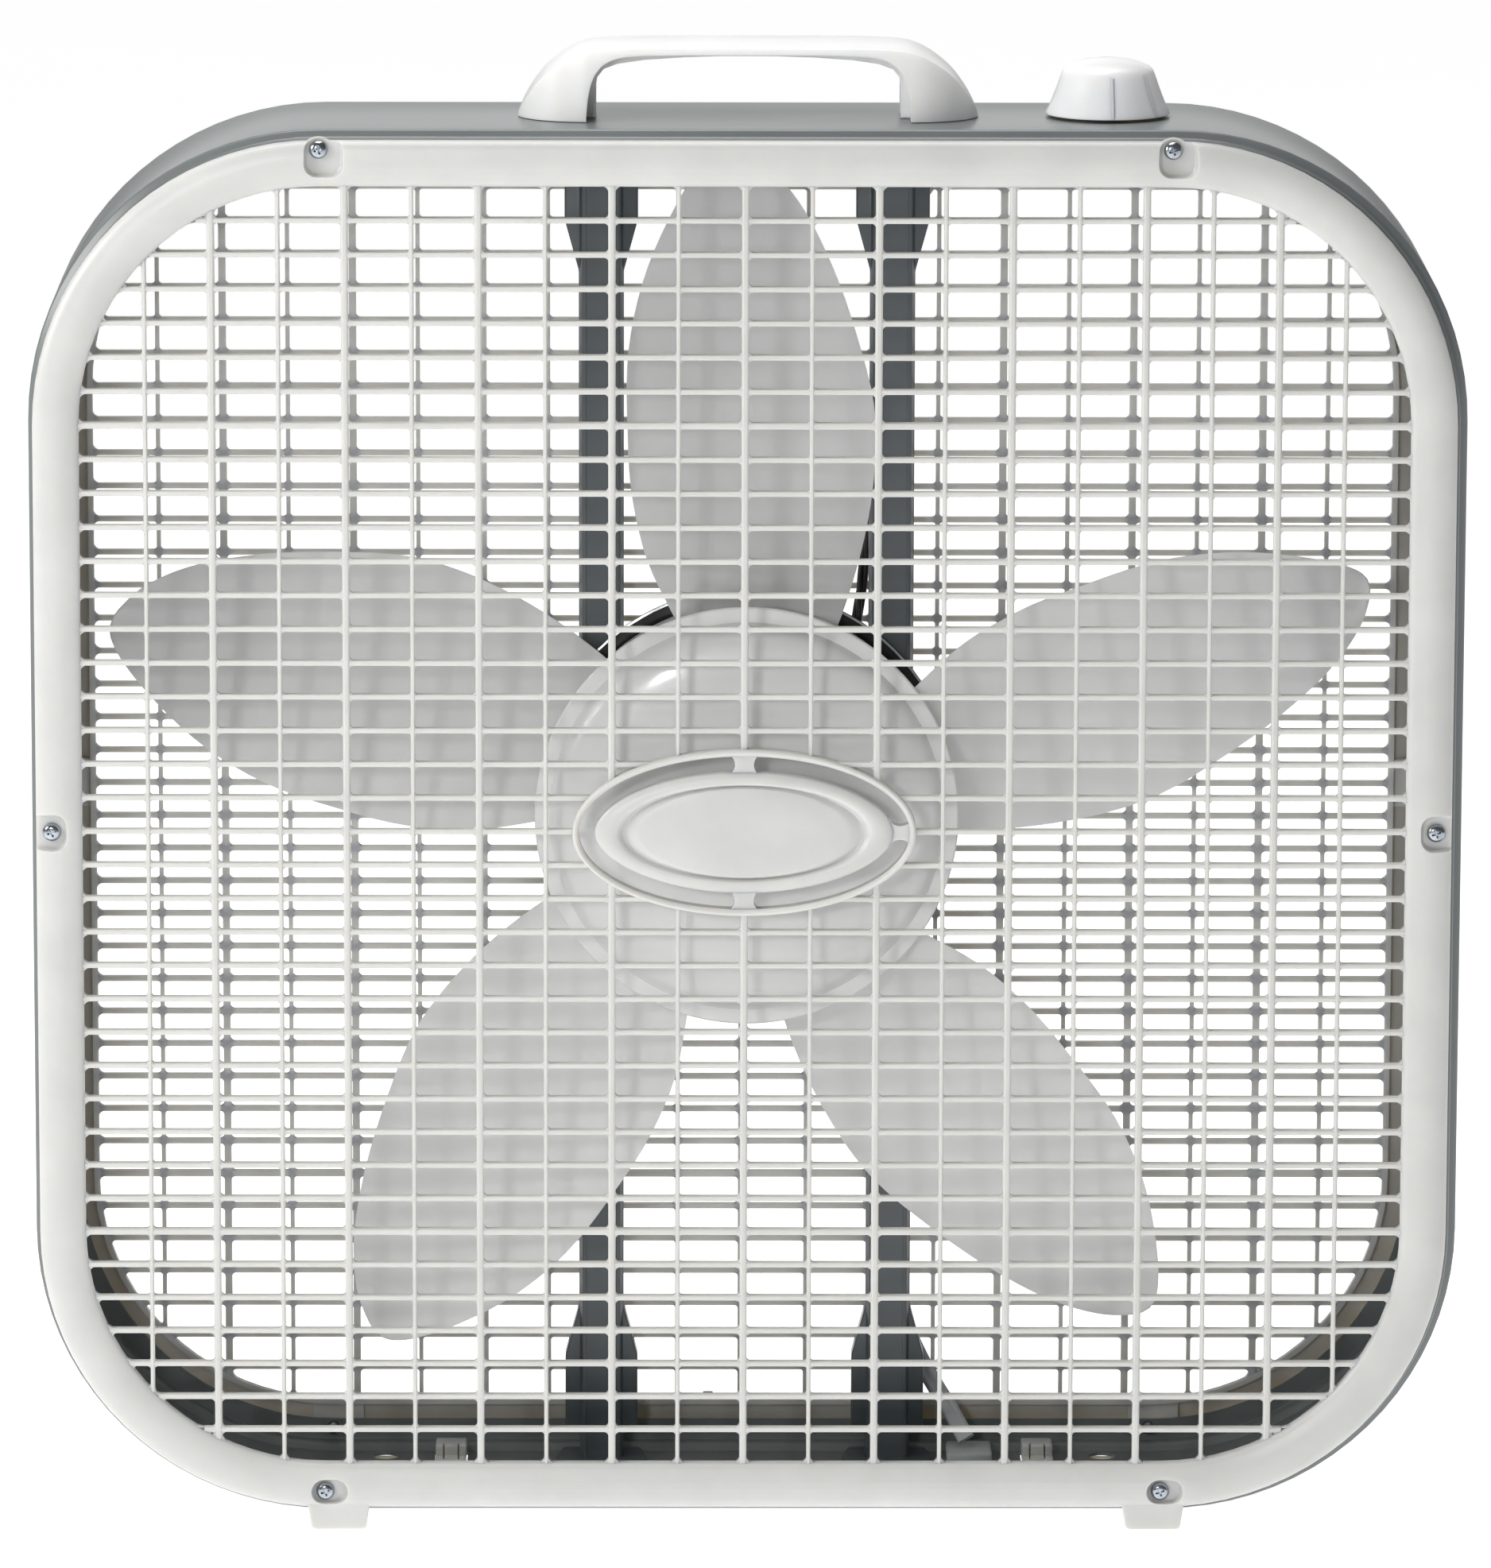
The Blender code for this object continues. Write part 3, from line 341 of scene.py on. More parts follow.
def add_prism(bm, outline, axis, low, high):
    """Adds a prism of a closed outline. Its points hold the two coordinates across axis, in order."""
    def point(pair, height):
        values = list(pair)
        values.insert("XYZ".index(axis), height)
        return bm.verts.new(values)

    bottom = [point(pair, low) for pair in outline]
    top = [point(pair, high) for pair in outline]
    bm.faces.new(bottom)
    bm.faces.new(reversed(top))
    join_rings(bm, bottom, top)


def add_box(bm, low, high):
    add_prism(bm, [(low[0], low[1]), (high[0], low[1]), (high[0], high[1]), (low[0], high[1])], "Z", low[2],
        high[2])


def add_block(bm, origin, *spans):
    """Adds a box by its spans along X, Y and Z from the origin, in mm."""
    sides = [sorted(start + end * MM for end in span) for start, span in zip(origin, spans)]
    add_box(bm, [side[0] for side in sides], [side[1] for side in sides])


def rectangle(half_w, half_h):
    return [(-half_w, -half_h), (half_w, -half_h), (half_w, half_h), (-half_w, half_h)]


def mirrored(half):
    """A left-right symmetrical outline of (x, z) points from its left half."""
    return half + [(-x, z) for x, z in reversed(half)]


def join_rings(bm, a, b):
    """Joins two closed rings of the same number of vertices with quads."""
    for i in range(len(a)):
        j = (i + 1) % len(a)
        bm.faces.new((a[i], a[j], b[j], b[i]))


def add_loft(bm, sections, ring=False):
    """Skins a run of closed sections, given as lists of points. ring joins the last to the first."""
    rows = [[bm.verts.new(p) for p in section] for section in sections]
    for a, b in zip(rows, rows[1:]):
        join_rings(bm, a, b)
    if ring:
        join_rings(bm, rows[-1], rows[0])
    else:
        bm.faces.new(rows[0])
        bm.faces.new(reversed(rows[-1]))


def circle(radius, centre=(0.0, 0.0), sides=32):
    turns = [2 * math.pi * i / sides for i in range(sides)]
    return [(centre[0] + radius * math.cos(a), centre[1] + radius * math.sin(a)) for a in turns]


def add_cylinder(bm, centre, radius, axis, low, high, sides=24):
    add_prism(bm, circle(radius, centre, sides), axis, low, high)


def add_lathe(bm, profile, axis, centre, sides=48):
    """Turns a profile of (radius, height) points about axis through centre."""
    rings = []
    for radius, height in profile:
        points = [(0.0, 0.0)] if radius == 0 else circle(radius, sides=sides)
        local = [(x, height, y) if axis == "Y" else (x, y, height) for x, y in points]
        rings.append([bm.verts.new(Vector(p) + Vector(centre)) for p in local])
    pairs = list(zip(rings, rings[1:]))
    if profile[0][0] > 0:
        pairs.append((rings[-1], rings[0]))
    for a, b in pairs:
        for i in range(sides):
            j = (i + 1) % sides
            corners = [a[i % len(a)], a[j % len(a)], b[j % len(b)], b[i % len(b)]]
            bm.faces.new(list(dict.fromkeys(corners)))


def rounded_path(points, radius, steps=4, closed=False):
    """A line through 2-D points with each of its corners turned into an arc."""
    line = []
    count = len(points)
    for i, p in enumerate(points):
        if not closed and i in (0, count - 1):
            line.append(Vector(p))
            continue
        p, before, after = Vector(p), Vector(points[i - 1]), Vector(points[(i + 1) % count])
        back, ahead = (before - p).normalized(), (after - p).normalized()
        turn = math.pi - back.angle(ahead)
        if turn < 0.05:
            line.append(p)
            continue
        reach = min(radius * math.tan(turn / 2), (before - p).length * 0.49, (after - p).length * 0.49)
        bend = reach / math.tan(turn / 2)
        centre = p + (back + ahead).normalized() * bend / math.cos(turn / 2)
        start, end = p + back * reach - centre, p + ahead * reach - centre
        sweep = start.angle_signed(end)
        for k in range(steps + 1):
            line.append(centre + Matrix.Rotation(-sweep * k / steps, 2) @ start)
    return line


def thick_line(line, thickness):
    """The closed outline of a sheet whose outer face is the open line; the metal lies on its left."""
    inner = []
    for i, p in enumerate(line):
        before = (p - line[i - 1]).normalized() if i else None
        after = (line[i + 1] - p).normalized() if i < len(line) - 1 else None
        ways = [w for w in (before, after) if w is not None]
        way = sum(ways, Vector((0, 0))).normalized()
        widen = 1 / max(0.5, way.dot(ways[0]))
        inner.append(p + Vector((-way.y, way.x)) * thickness * widen)
    return list(line) + inner[::-1]


def rounded_rectangle(half_w, half_h, radius, steps=20):
    """Points of a rounded rectangle about the fan's axis, as (x, z), anticlockwise from the right."""
    points = []
    for side_x, side_z, start in [(1, 1, 0), (-1, 1, 90), (-1, -1, 180), (1, -1, 270)]:
        for i in range(steps + 1):
            a = math.radians(start + 90 * i / steps)
            x = side_x * (half_w - radius) + radius * math.cos(a)
            z = side_z * (half_h - radius) + radius * math.sin(a)
            points.append((x, AXIS_Z + z))
    return points


def add_frame(bm, half_w, half_h, corner, section, shift_x=0.0):
    """Sweeps a closed section of (inset, y) points round a rounded rectangle."""
    rings = []
    for inset, y in section:
        outline = rounded_rectangle(half_w - inset, half_h - inset, corner - inset)
        rings.append([(x + shift_x, y, z) for x, z in outline])
    add_loft(bm, rings, ring=True)


def spline(a, b, c, d, t):
    """A point between b and c on a Catmull-Rom curve through a, b, c and d."""
    return 0.5 * (2 * b + (c - a) * t + (2 * a - 5 * b + 4 * c - d) * t**2 + (3 * b - a - 3 * c + d) * t**3)


def smooth_route(knots, step):
    """Points about step apart on a smooth curve through the knots."""
    line = []
    ends = [2 * knots[0] - knots[1], *knots, 2 * knots[-1] - knots[-2]]
    for a, b, c, d in zip(ends, ends[1:], ends[2:], ends[3:]):
        count = max(1, round((c - b).length / step))
        line += [spline(a, b, c, d, i / count) for i in range(count)]
    return line + [knots[-1]]


def way_along(line, i):
    """The direction of a line at its point i."""
    return (line[min(i + 1, len(line) - 1)] - line[max(i - 1, 0)]).normalized()


def add_tube(bm, line, section, up=Vector((0, 0, 1))):
    """Sweeps a section of (across, up) points along a line, keeping its second axis near up."""
    rings = []
    side_before = None
    for i, p in enumerate(line):
        way = way_along(line, i)
        side = way.cross(up)
        if side.length < 0.2 and side_before is not None:
            side = side_before - way * side_before.dot(way)
        side.normalize()
        side_before = side
        above = side.cross(way)
        rings.append([p + side * a + above * b for a, b in section])
    add_loft(bm, rings)


# ---------------------------------------------------------------- wrapper


def make_casing(look):
    """The sheet-metal wrapper with rolled bends, stepped rims, lips and its openings."""
    slope, flat, depth = 1.5 * MM, CASING_HALF_FLAT, CASING_HALF_D
    half = [(RIM_STEP, flat + slope), (RIM_STEP, depth), (LIP, depth)]
    outer = [(inset, -y) for inset, y in reversed(half)] + [(0.0, -flat), (0.0, flat)] + half
    line = rounded_path(outer, 1.3 * MM, steps=4)
    bm = bmesh.new()
    add_frame(bm, CASING_HALF_W, CASING_HALF_H, CASING_CORNER, thick_line(line, -SHEET))
    casing = object_from("casing_wrapper", bm)

    cuts = bmesh.new()
    for x, z in grille_screws():
        for side in (-1, 1):
            ends = sorted((side * (depth - 2 * SHEET), side * (depth + 8 * MM)))
            add_cylinder(cuts, (x, z), 2.2 * MM, "Y", *ends, sides=16)
    add_cylinder(cuts, (KNOB_X, 0.0), 5.2 * MM, "Z", TOP_Z - 8 * MM, TOP_Z + 8 * MM)
    for side in (-1, 1):
        add_block(cuts, (side * HOOK_X, 0.0, TOP_Z), (-7, 7), (-2.5, 2.5), (-8, 8))
        add_block(cuts, (side * SLOT_X, 0.0, BOTTOM_Z), (-6.4, 6.4), SLOT_SPAN, (-4, 4))
        add_cylinder(cuts, (side * DRAIN[0], DRAIN[1]), 5.4 * MM, "Z", BOTTOM_Z - 4 * MM, BOTTOM_Z + 4 * MM)
    add_block(cuts, (CORD_X, 0.0, BOTTOM_Z), (-7.5, 7.5), SLOT_SPAN, (-4, 4))
    boolean(casing, cuts)
    apply_modifiers(casing)
    settle(casing, look, HOUSING, "casing")


def grille_screws():
    """The places of the six screws of a grille, as (x, z)."""
    corners = [(side * SCREW_X, z) for z in (SCREW_TOP, -SCREW_BOTTOM) for side in (-1, 1)]
    sides = [(-SCREW_SIDE, 0.0), (SCREW_SIDE, 0.0)]
    return [(GRILLE_X + x, AXIS_Z + z) for x, z in corners + sides]


# ---------------------------------------------------------------- grilles


def opening_reach(offset, half_along, half_across):
    """Half the length of the opening at an offset from its middle, and a little of the bezel."""
    corner = BEZEL_CORNER - BEZEL_WIDTH
    into = max(0.0, abs(offset) - (half_across - corner))
    return half_along - corner + math.sqrt(max(0.0, corner**2 - into**2)) + 1.2 * MM


def bar_section(half, front, back):
    """Half the width and the depth of a bar with a rounded front, as (across, y) points."""
    nose = [(0.5, 0.1), (0.86, 0.45), (1.0, 1.1)]  # share of the half width, and mm behind the front
    right = [(half * share, front + fall * MM) for share, fall in nose] + [(half, back)]
    return [(-x, y) for x, y in reversed(right)] + right


def upright_bars():
    """(x from the middle, half width) of every upright bar."""
    return [(k * PITCH_X / 2, (0.82 if k % 2 else 1.4) * MM) for k in range(-9, 10)]


def level_bars():
    """(z from the middle, half height) of every level bar."""
    return [(k * PITCH_Z, (1.3 if abs(k) == HEAVY_ROW else 1.05) * MM) for k in range(-ROWS, ROWS + 1)]


def add_bars(bm, side, spared=None):
    """The bars of a grille, with small gussets where they cross, except where spared(x, z) is true."""
    opening_w, opening_h = BEZEL_HALF_W - BEZEL_WIDTH, BEZEL_HALF_H - BEZEL_WIDTH
    for x, half in upright_bars():
        reach = opening_reach(abs(x) + half, opening_h, opening_w)
        section = bar_section(half, -BAR_OUTER_Y, -BAR_INNER_Y)
        ends = [[(GRILLE_X + x + a, -side * y, AXIS_Z + z) for a, y in section] for z in (-reach, reach)]
        add_loft(bm, ends)
    for z, half in level_bars():
        reach = opening_reach(abs(z) + half, opening_w, opening_h)
        section = bar_section(half, -BAR_OUTER_Y + 0.25 * MM, -BAR_INNER_Y - 0.2 * MM)
        ends = [[(GRILLE_X + x, -side * y, AXIS_Z + z + a) for a, y in section] for x in (-reach, reach)]
        add_loft(bm, ends)
    front, back = -BAR_OUTER_Y + 0.75 * MM, -BAR_INNER_Y - GAP
    ends = sorted((-side * front, -side * back))
    for x, half_x in upright_bars():
        leg = (1.5 if half_x > MM else 1.1) * MM
        for z, half_z in level_bars():
            if not opening_holds(x, z) or (spared and spared(x, z)):
                continue
            for sx, sz in ((-1, -1), (-1, 1), (1, -1), (1, 1)):
                corner = Vector((x + sx * half_x, z + sz * half_z))
                add_web_corner(bm, corner, Vector((sx * leg, 0)), Vector((0, sz * leg)), ends)
    add_end_gussets(bm, ends)


def add_end_gussets(bm, ends):
    """The larger webs where the bars run into the bezel, which follow the slope of the opening's edge."""
    leg, step, overlap = 2.3 * MM, 0.5 * MM, 1.2 * MM
    opening = (BEZEL_HALF_W - BEZEL_WIDTH, BEZEL_HALF_H - BEZEL_WIDTH)
    signs = ((-1, -1), (-1, 1), (1, -1), (1, 1))
    for upright, bars in ((False, level_bars()), (True, upright_bars())):
        along, across = opening if not upright else opening[::-1]
        for (place, half), (end, side) in ((bar, sign) for bar in bars for sign in signs):
            edge = place + side * half
            if abs(edge) + leg > across - 9 * MM:
                continue
            reach = opening_reach(edge, along, across) - overlap
            further = opening_reach(edge + side * step, along, across) - overlap
            slope = Vector((end * (further - reach), side * step)).normalized() * leg
            corner, back = Vector((end * reach, edge)), Vector((-end * leg, 0))
            if upright:
                corner, back, slope = corner.yx, back.yx, slope.yx
            add_web_corner(bm, corner, back, slope, ends)


def opening_holds(x, z):
    """Whether a crossing lies inside the grille's opening."""
    corner = BEZEL_CORNER - BEZEL_WIDTH
    dx = max(0.0, abs(x) - (BEZEL_HALF_W - BEZEL_WIDTH - corner))
    dz = max(0.0, abs(z) - (BEZEL_HALF_H - BEZEL_WIDTH - corner))
    return math.hypot(dx, dz) < corner


def add_web_corner(bm, corner, leg_a, leg_b, ends):
    """A small web in an inside corner of the grille, with its legs along the two bars."""
    sink = -0.2
    outline = [
        corner + (leg_a + leg_b) * sink,
        corner + leg_a + leg_b * sink,
        corner + (leg_a + leg_b) * 0.28,
        corner + leg_b + leg_a * sink,
    ]
    add_prism(bm, [(GRILLE_X + p.x, AXIS_Z + p.y) for p in outline], "Y", *ends)


def bezel_section(side):
    """The bezel's closed section as (inset, y): a hollow moulding with a rounded crown."""
    crown, back, wall = GRILLE_CROWN, CASING_HALF_D + GAP, 2.2 * MM
    # the face's points as (inset, fall below the crown), in mm
    face = [(0, 3.2), (0.4, 2.2), (1.2, 1.4), (3, 0.6), (5.6, 0.14), (8, 0), (10.4, 0.2), (12.8, 0.75)]
    face += [(15.2, 1.6), (16.4, 2.2), (17.1, 2.9), (BEZEL_WIDTH / MM, 3.8)]
    outer = [(0.0, back)] + [(inset * MM, crown - fall * MM) for inset, fall in face]
    inner = [
        (BEZEL_WIDTH, BAR_INNER_Y - GAP),
        (BEZEL_WIDTH - wall, BAR_INNER_Y - GAP),
        (BEZEL_WIDTH - wall, crown - 4.6 * MM),
        (8.5 * MM, crown - wall),
        (4.4 * MM, crown - 1.1 * wall),
        (wall, crown - 4.0 * MM),
        (wall, back),
    ]
    return [(inset, side * y) for inset, y in outer + inner]


def add_bosses(bm, side):
    """The blocks behind the screw pockets. The top ones stand a little proud of the bezel's edge."""
    near, far = 0.9, BEZEL_WIDTH / MM - 1.0
    depth = sorted((side * (CASING_HALF_D + GAP), side * (GRILLE_CROWN - 2.6 * MM)))
    span = [y / MM for y in depth]
    for x, z in grille_screws():
        top = z - AXIS_Z > MM
        add_cylinder(bm, (x, z - (2.2 * MM if top else 0.0)), (7.0 if top else 5.2) * MM, "Y", *depth,
            sides=32)
        if abs(z - AXIS_Z) < MM:
            way = math.copysign(1, x)
            edge = (GRILLE_X + way * BEZEL_HALF_W, 0.0, z)
            add_block(bm, edge, (-way * near, -way * far), span, (-9.5, 9.5))
        else:
            way = 1 if top else -1
            edge = (x + 2.0 * MM, 0.0, AXIS_Z + way * BEZEL_HALF_H)
            add_block(bm, edge, (-10, 10), span, (-way * near, -way * far))


def pocket_outline(half_w, half_h, corner, centre):
    outline = rounded_path(rectangle(half_w, half_h), corner, steps=6, closed=True)
    return [(centre[0] + p.x, centre[1] + p.y) for p in outline]


def add_pockets(cuts, side):
    """The dished pockets round the screws: drafted, and open to the outer edge except at the bottom."""
    seat, front = SCREW_SEAT_Y, GRILLE_CROWN + 0.6 * MM
    for x, z in grille_screws():
        if abs(z - AXIS_Z) < MM:
            way = 1 if x > 0 else -1
            centre, half_w, half_h = (x + way * 2.0 * MM, z), 8.4 * MM, 7.4 * MM
        elif z > AXIS_Z:
            centre, half_w, half_h = (x + 2.0 * MM, z - 2.7 * MM), 7.8 * MM, 8.4 * MM
        else:
            centre, half_w, half_h = (x + 1.8 * MM, z), 7.4 * MM, 5.4 * MM
        sections = []
        for y, inset in ((seat, 1.7 * MM), (seat + 0.35 * MM, 1.2 * MM), (seat + 1.0 * MM, 1.0 * MM),
                (front, 0.0)):
            outline = pocket_outline(half_w - inset, half_h - inset, 5.4 * MM - inset, centre)
            sections.append([(px, side * y, pz) for px, pz in outline])
        add_loft(cuts, sections)
        ends = sorted((side * (CASING_HALF_D - MM), side * (seat + MM)))
        add_cylinder(cuts, (x, z), 2.2 * MM, "Y", *ends, sides=16)


def add_feet(bm, side):
    """The two feet under the bezel, tapered, with rounded lower corners, and their pads under the wrapper."""
    top, under = AXIS_Z - BEZEL_HALF_H + 2.4 * MM, BOTTOM_Z - 0.5 * MM
    for x in (-FOOT_X, FOOT_X):
        corners = [(12.2 * MM, top), (-12.2 * MM, top), (-10.5 * MM, 0.0), (10.5 * MM, 0.0)]
        outline = rounded_path(corners, 1.6 * MM, steps=4, closed=True)
        y0, y1 = side * (CASING_HALF_D + GAP), side * 54.6 * MM
        sections = [[(x + p.x, y, p.y) for p in outline] for y in (y0, y1 - side * 0.6 * MM)]
        sections.append([(x + p.x * 0.96, y1, top + (p.y - top) * 0.97) for p in outline])
        add_loft(bm, sections)
        add_block(bm, (x, 0.0, 0.0), (-9.8, 9.8), (side * 28, side * 54), (0.2, under / MM))
        if side > 0:  # a thin web from the rear pad, under the drain hole beside it
            inwards = -math.copysign(1, x)
            add_block(bm, (x, 0.0, under), (inwards * 23, inwards * 9), (28, 42), (-1.6, -0.2))


def ellipse(half_w, half_h, sides=96):
    turns = [2 * math.pi * i / sides for i in range(sides)]
    return [(half_w * math.cos(a), half_h * math.sin(a)) for a in turns]


def pointed_oval(half_w, half_h, sides=96, roundness=0.85):
    """An oval drawn out a little towards points at its left and right ends."""
    points = []
    radius = (half_w**2 + half_h**2) / (2 * half_h)
    for i in range(sides):
        a = 2 * math.pi * i / sides
        u = math.cos(a) * half_w
        lens = math.sqrt(radius**2 - u**2) - (radius - half_h)
        oval = half_h * abs(math.sin(a))
        height = lens * (1 - roundness) + oval * roundness
        points.append((u, math.copysign(height, math.sin(a))))
    return points


def add_relief(bm, rings, ring=False):
    """Skins rings of (x, z) points from the outside in, each at its own y."""
    add_loft(bm, [[(GRILLE_X + x, y, AXIS_Z + z) for x, z in points] for points, y in rings], ring=ring)


def add_medallion(bm):
    """The oval centrepiece: a thin outer ring, three webs, and a pointed plate with a blank raised pillow.

    Each step of a profile ends in how far it is behind the front, in mm.
    """
    a, b = MEDALLION_HALF
    front = -GRILLE_CROWN + 0.9 * MM
    back = -BAR_INNER_Y + 0.4 * MM
    rim = [(0, 1.0), (0.3, 0.35), (1.0, 0), (1.7, 0.2), (2.5, 1.0)]
    rings = [(0, back)] + [(shrink, front + fall * MM) for shrink, fall in rim] + [(2.5, back)]
    add_relief(bm, [(ellipse(a - shrink * MM, b - shrink * MM), y) for shrink, y in rings], ring=True)

    plate_w, plate_h = 57.4 * MM, 23.6 * MM
    plate = [(pointed_oval(plate_w, plate_h), back)]
    for less_w, less_h, fall in [(0, 0, 1.9), (0.3, 0.25, 1.3), (1.2, 0.9, 0.75), (4.6, 2.6, 0.15)]:
        plate.append((pointed_oval(plate_w - less_w * MM, plate_h - less_h * MM), front + fall * MM))
    pillow = [(49.2, 19.4, 0.2), (48.4, 18.9, 0.5), (46.8, 18.3, 1.9), (45.4, 18.1, 2.2), (44.2, 17.9, 1.9)]
    pillow += [(41.6, 17.4, 0.8), (39.6, 16.8, 0.5), (20, 9, 0.3), (3, 1.2, 0.25)]
    plate += [(ellipse(w * MM, h * MM), front + fall * MM) for w, h, fall in pillow]
    add_relief(bm, plate)
    for web in [(-3.6, 3.6, 22.4, 30.6), (-3.6, 3.6, -30.6, -22.4), (55.4, 64.4, -2.6, 2.6)]:
        add_web(bm, *[edge * MM for edge in web], front + 1.5 * MM, back)


def add_web(bm, x0, x1, z0, z1, front, back):
    """A bridge across the medallion's slot whose sides are hollowed, so that the slots have round ends."""
    upright = abs(z0 + z1) > MM
    length = z1 - z0 if upright else x1 - x0
    hollow = length * 0.42
    middle = Vector((GRILLE_X + (x0 + x1) / 2, AXIS_Z + (z0 + z1) / 2))
    half = (x1 - x0 if upright else z1 - z0) / 2
    outline = []
    for side in (-1, 1):
        for i in range(9):
            t = side * (-1 + i / 4)
            across = side * (half + hollow * (1 - math.sqrt(max(0.0, 1 - t**2))))
            offset = Vector((across, t * length / 2))
            outline.append(middle + (offset if upright else offset.yx))
    add_prism(bm, outline, "Y", *sorted((front, back)))


def make_grille(name, node, side, look):
    """A whole grille moulding: bezel, pockets, bars, feet and, in front, the medallion."""
    bm = bmesh.new()
    add_frame(bm, BEZEL_HALF_W, BEZEL_HALF_H, BEZEL_CORNER, bezel_section(side), GRILLE_X)
    bezel = object_from(f"{name}_bezel", bm)
    extra = bmesh.new()
    add_bosses(extra, side)
    add_feet(extra, side)
    boolean(bezel, extra, "UNION")
    cuts = bmesh.new()
    add_pockets(cuts, side)
    boolean(bezel, cuts)
    apply_modifiers(bezel, 0.5)
    settle(bezel, look, HOUSING, node)

    bm = bmesh.new()
    a, b = (size - 1.5 * MM for size in MEDALLION_HALF)
    inside = (lambda x, z: (x / a) ** 2 + (z / b) ** 2 < 1) if side < 0 else None
    add_bars(bm, side, inside)
    bars = object_from(f"{name}_bars", bm)
    if inside:
        hole = bmesh.new()
        oval = [(GRILLE_X + x, AXIS_Z + z) for x, z in ellipse(a, b)]
        add_prism(hole, oval, "Y", -60 * MM, -40 * MM)
        boolean(bars, hole)
        apply_modifiers(bars)
        bm = bmesh.new()
        add_medallion(bm)
        medallion = object_from(f"{name}_medallion", bm, 0.5)
        settle(medallion, look, HOUSING, node)
    settle(bars, look, HOUSING, node)


# ---------------------------------------------------------------- screws


def make_screw(name, node, seat, direction, length, look):
    """A pan-head screw with a cross recess and a threaded shank. seat is under its head."""
    head_r, head, core, pitch = 3.6 * MM, 2.3 * MM, 1.5 * MM, 1.2 * MM
    profile = [(0.0, -head), (1.4 * MM, -head * 0.985), (2.4 * MM, -head * 0.9), (3.15 * MM, -head * 0.66)]
    profile += [(3.5 * MM, -head * 0.36), (head_r, -0.12 * head), (head_r, 0.0), (core, 0.0)]
    for i in range(int((length - 2 * pitch) / pitch)):
        start = GAP + i * pitch
        profile += [(core, start), (1.9 * MM, start + pitch * 0.45), (core, start + pitch * 0.9)]
    profile += [(1.2 * MM, length - pitch), (0.0, length)]
    bm = bmesh.new()
    add_lathe(bm, [(r, direction * h) for r, h in profile], "Y", seat, sides=28)
    screw = object_from(name, bm, 0.5)
    cross = bmesh.new()
    for turn in (0.35, 0.35 + math.pi / 2):
        sections = []
        for depth, reach, half in ((-head - GAP, 2.0 * MM, 0.42 * MM),
                (-head + 1.3 * MM, 1.1 * MM, 0.3 * MM)):
            corners = [Matrix.Rotation(turn, 2) @ Vector(c) for c in rectangle(reach, half)]
            sections.append([(seat[0] + c.x, seat[1] + direction * depth, seat[2] + c.y) for c in corners])
        add_loft(cross, sections)
    boolean(screw, cross)
    apply_modifiers(screw, 0.5)
    settle(screw, look, HOUSING, node)


def make_screws(look):
    seat = SCREW_SEAT_Y + GAP
    for label, side in (("front", -1), ("rear", 1)):
        for i, (x, z) in enumerate(grille_screws()):
            name = f"{label}_screw_{i + 1}"
            make_screw(f"{name}_phillips", name, (x, side * seat, z), -side, 12 * MM, look)
    for i in range(4):
        node = f"motor_screw_{i + 1}"
        low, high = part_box(node)
        seat = ((low.x + high.x) / 2, PLATE_Y[0] - GAP, (low.z + high.z) / 2)
        make_screw(f"{node}_phillips", node, seat, 1, 7.5 * MM, look)


# ---------------------------------------------------------------- handle and speed control


def make_floor_clips(look):
    """The rear moulding's clips, which come up through the slots of the wrapper's floor."""
    for label, side in (("left", -1), ("right", 1)):
        origin = (side * SLOT_X, 0.0, BOTTOM_Z + SHEET)
        bm = bmesh.new()
        add_block(bm, origin, (-6.1, 6.1), (27, 39.6), (0.3, 6.2))
        clip = object_from(f"{label}_floor_clip", bm)
        bevel(clip, 0.8 * MM, 3)
        parts = bmesh.new()
        add_block(parts, origin, (-2.6, 2.6), (5, 28), (0.3, 2.2))
        for way in (-1, 1):
            add_block(parts, origin, (way * 3.4, way * 6.1), (12, 28), (0.3, 1.8))
        add_block(parts, origin, (-5.9, 5.9), (28, 39), (-1.4, 3))
        boolean(clip, parts, "UNION")
        grooves = bmesh.new()
        for middle in (-2.9, 2.9):
            add_block(grooves, origin, (middle - 0.35, middle + 0.35), (4, 30.5), (0, 8))
        boolean(clip, grooves)
        apply_modifiers(clip)
        settle(clip, look, HOUSING, "rear_grille")


def smooth_outline(knots, below):
    """The handle's outline smoothed through the knots of its left half, in mm, and carried down to below."""
    line = smooth_route([Vector((x, 0.0, z)) * MM for x, z in knots], 2.5 * MM)
    return mirrored([(line[0].x, below * MM)] + [(p.x, p.z) for p in line])


def handle_plan():
    """The handle from above: straight sides and a half-ellipse over each foot."""
    reach = HANDLE_HALF_W - HANDLE_FOOT_X
    turns = [math.pi * (i / 36 - 0.5) for i in range(37)]
    right = [(HANDLE_FOOT_X + reach * math.cos(a), HANDLE_HALF_D * math.sin(a)) for a in turns]
    return right + [(-x, -y) for x, y in right]


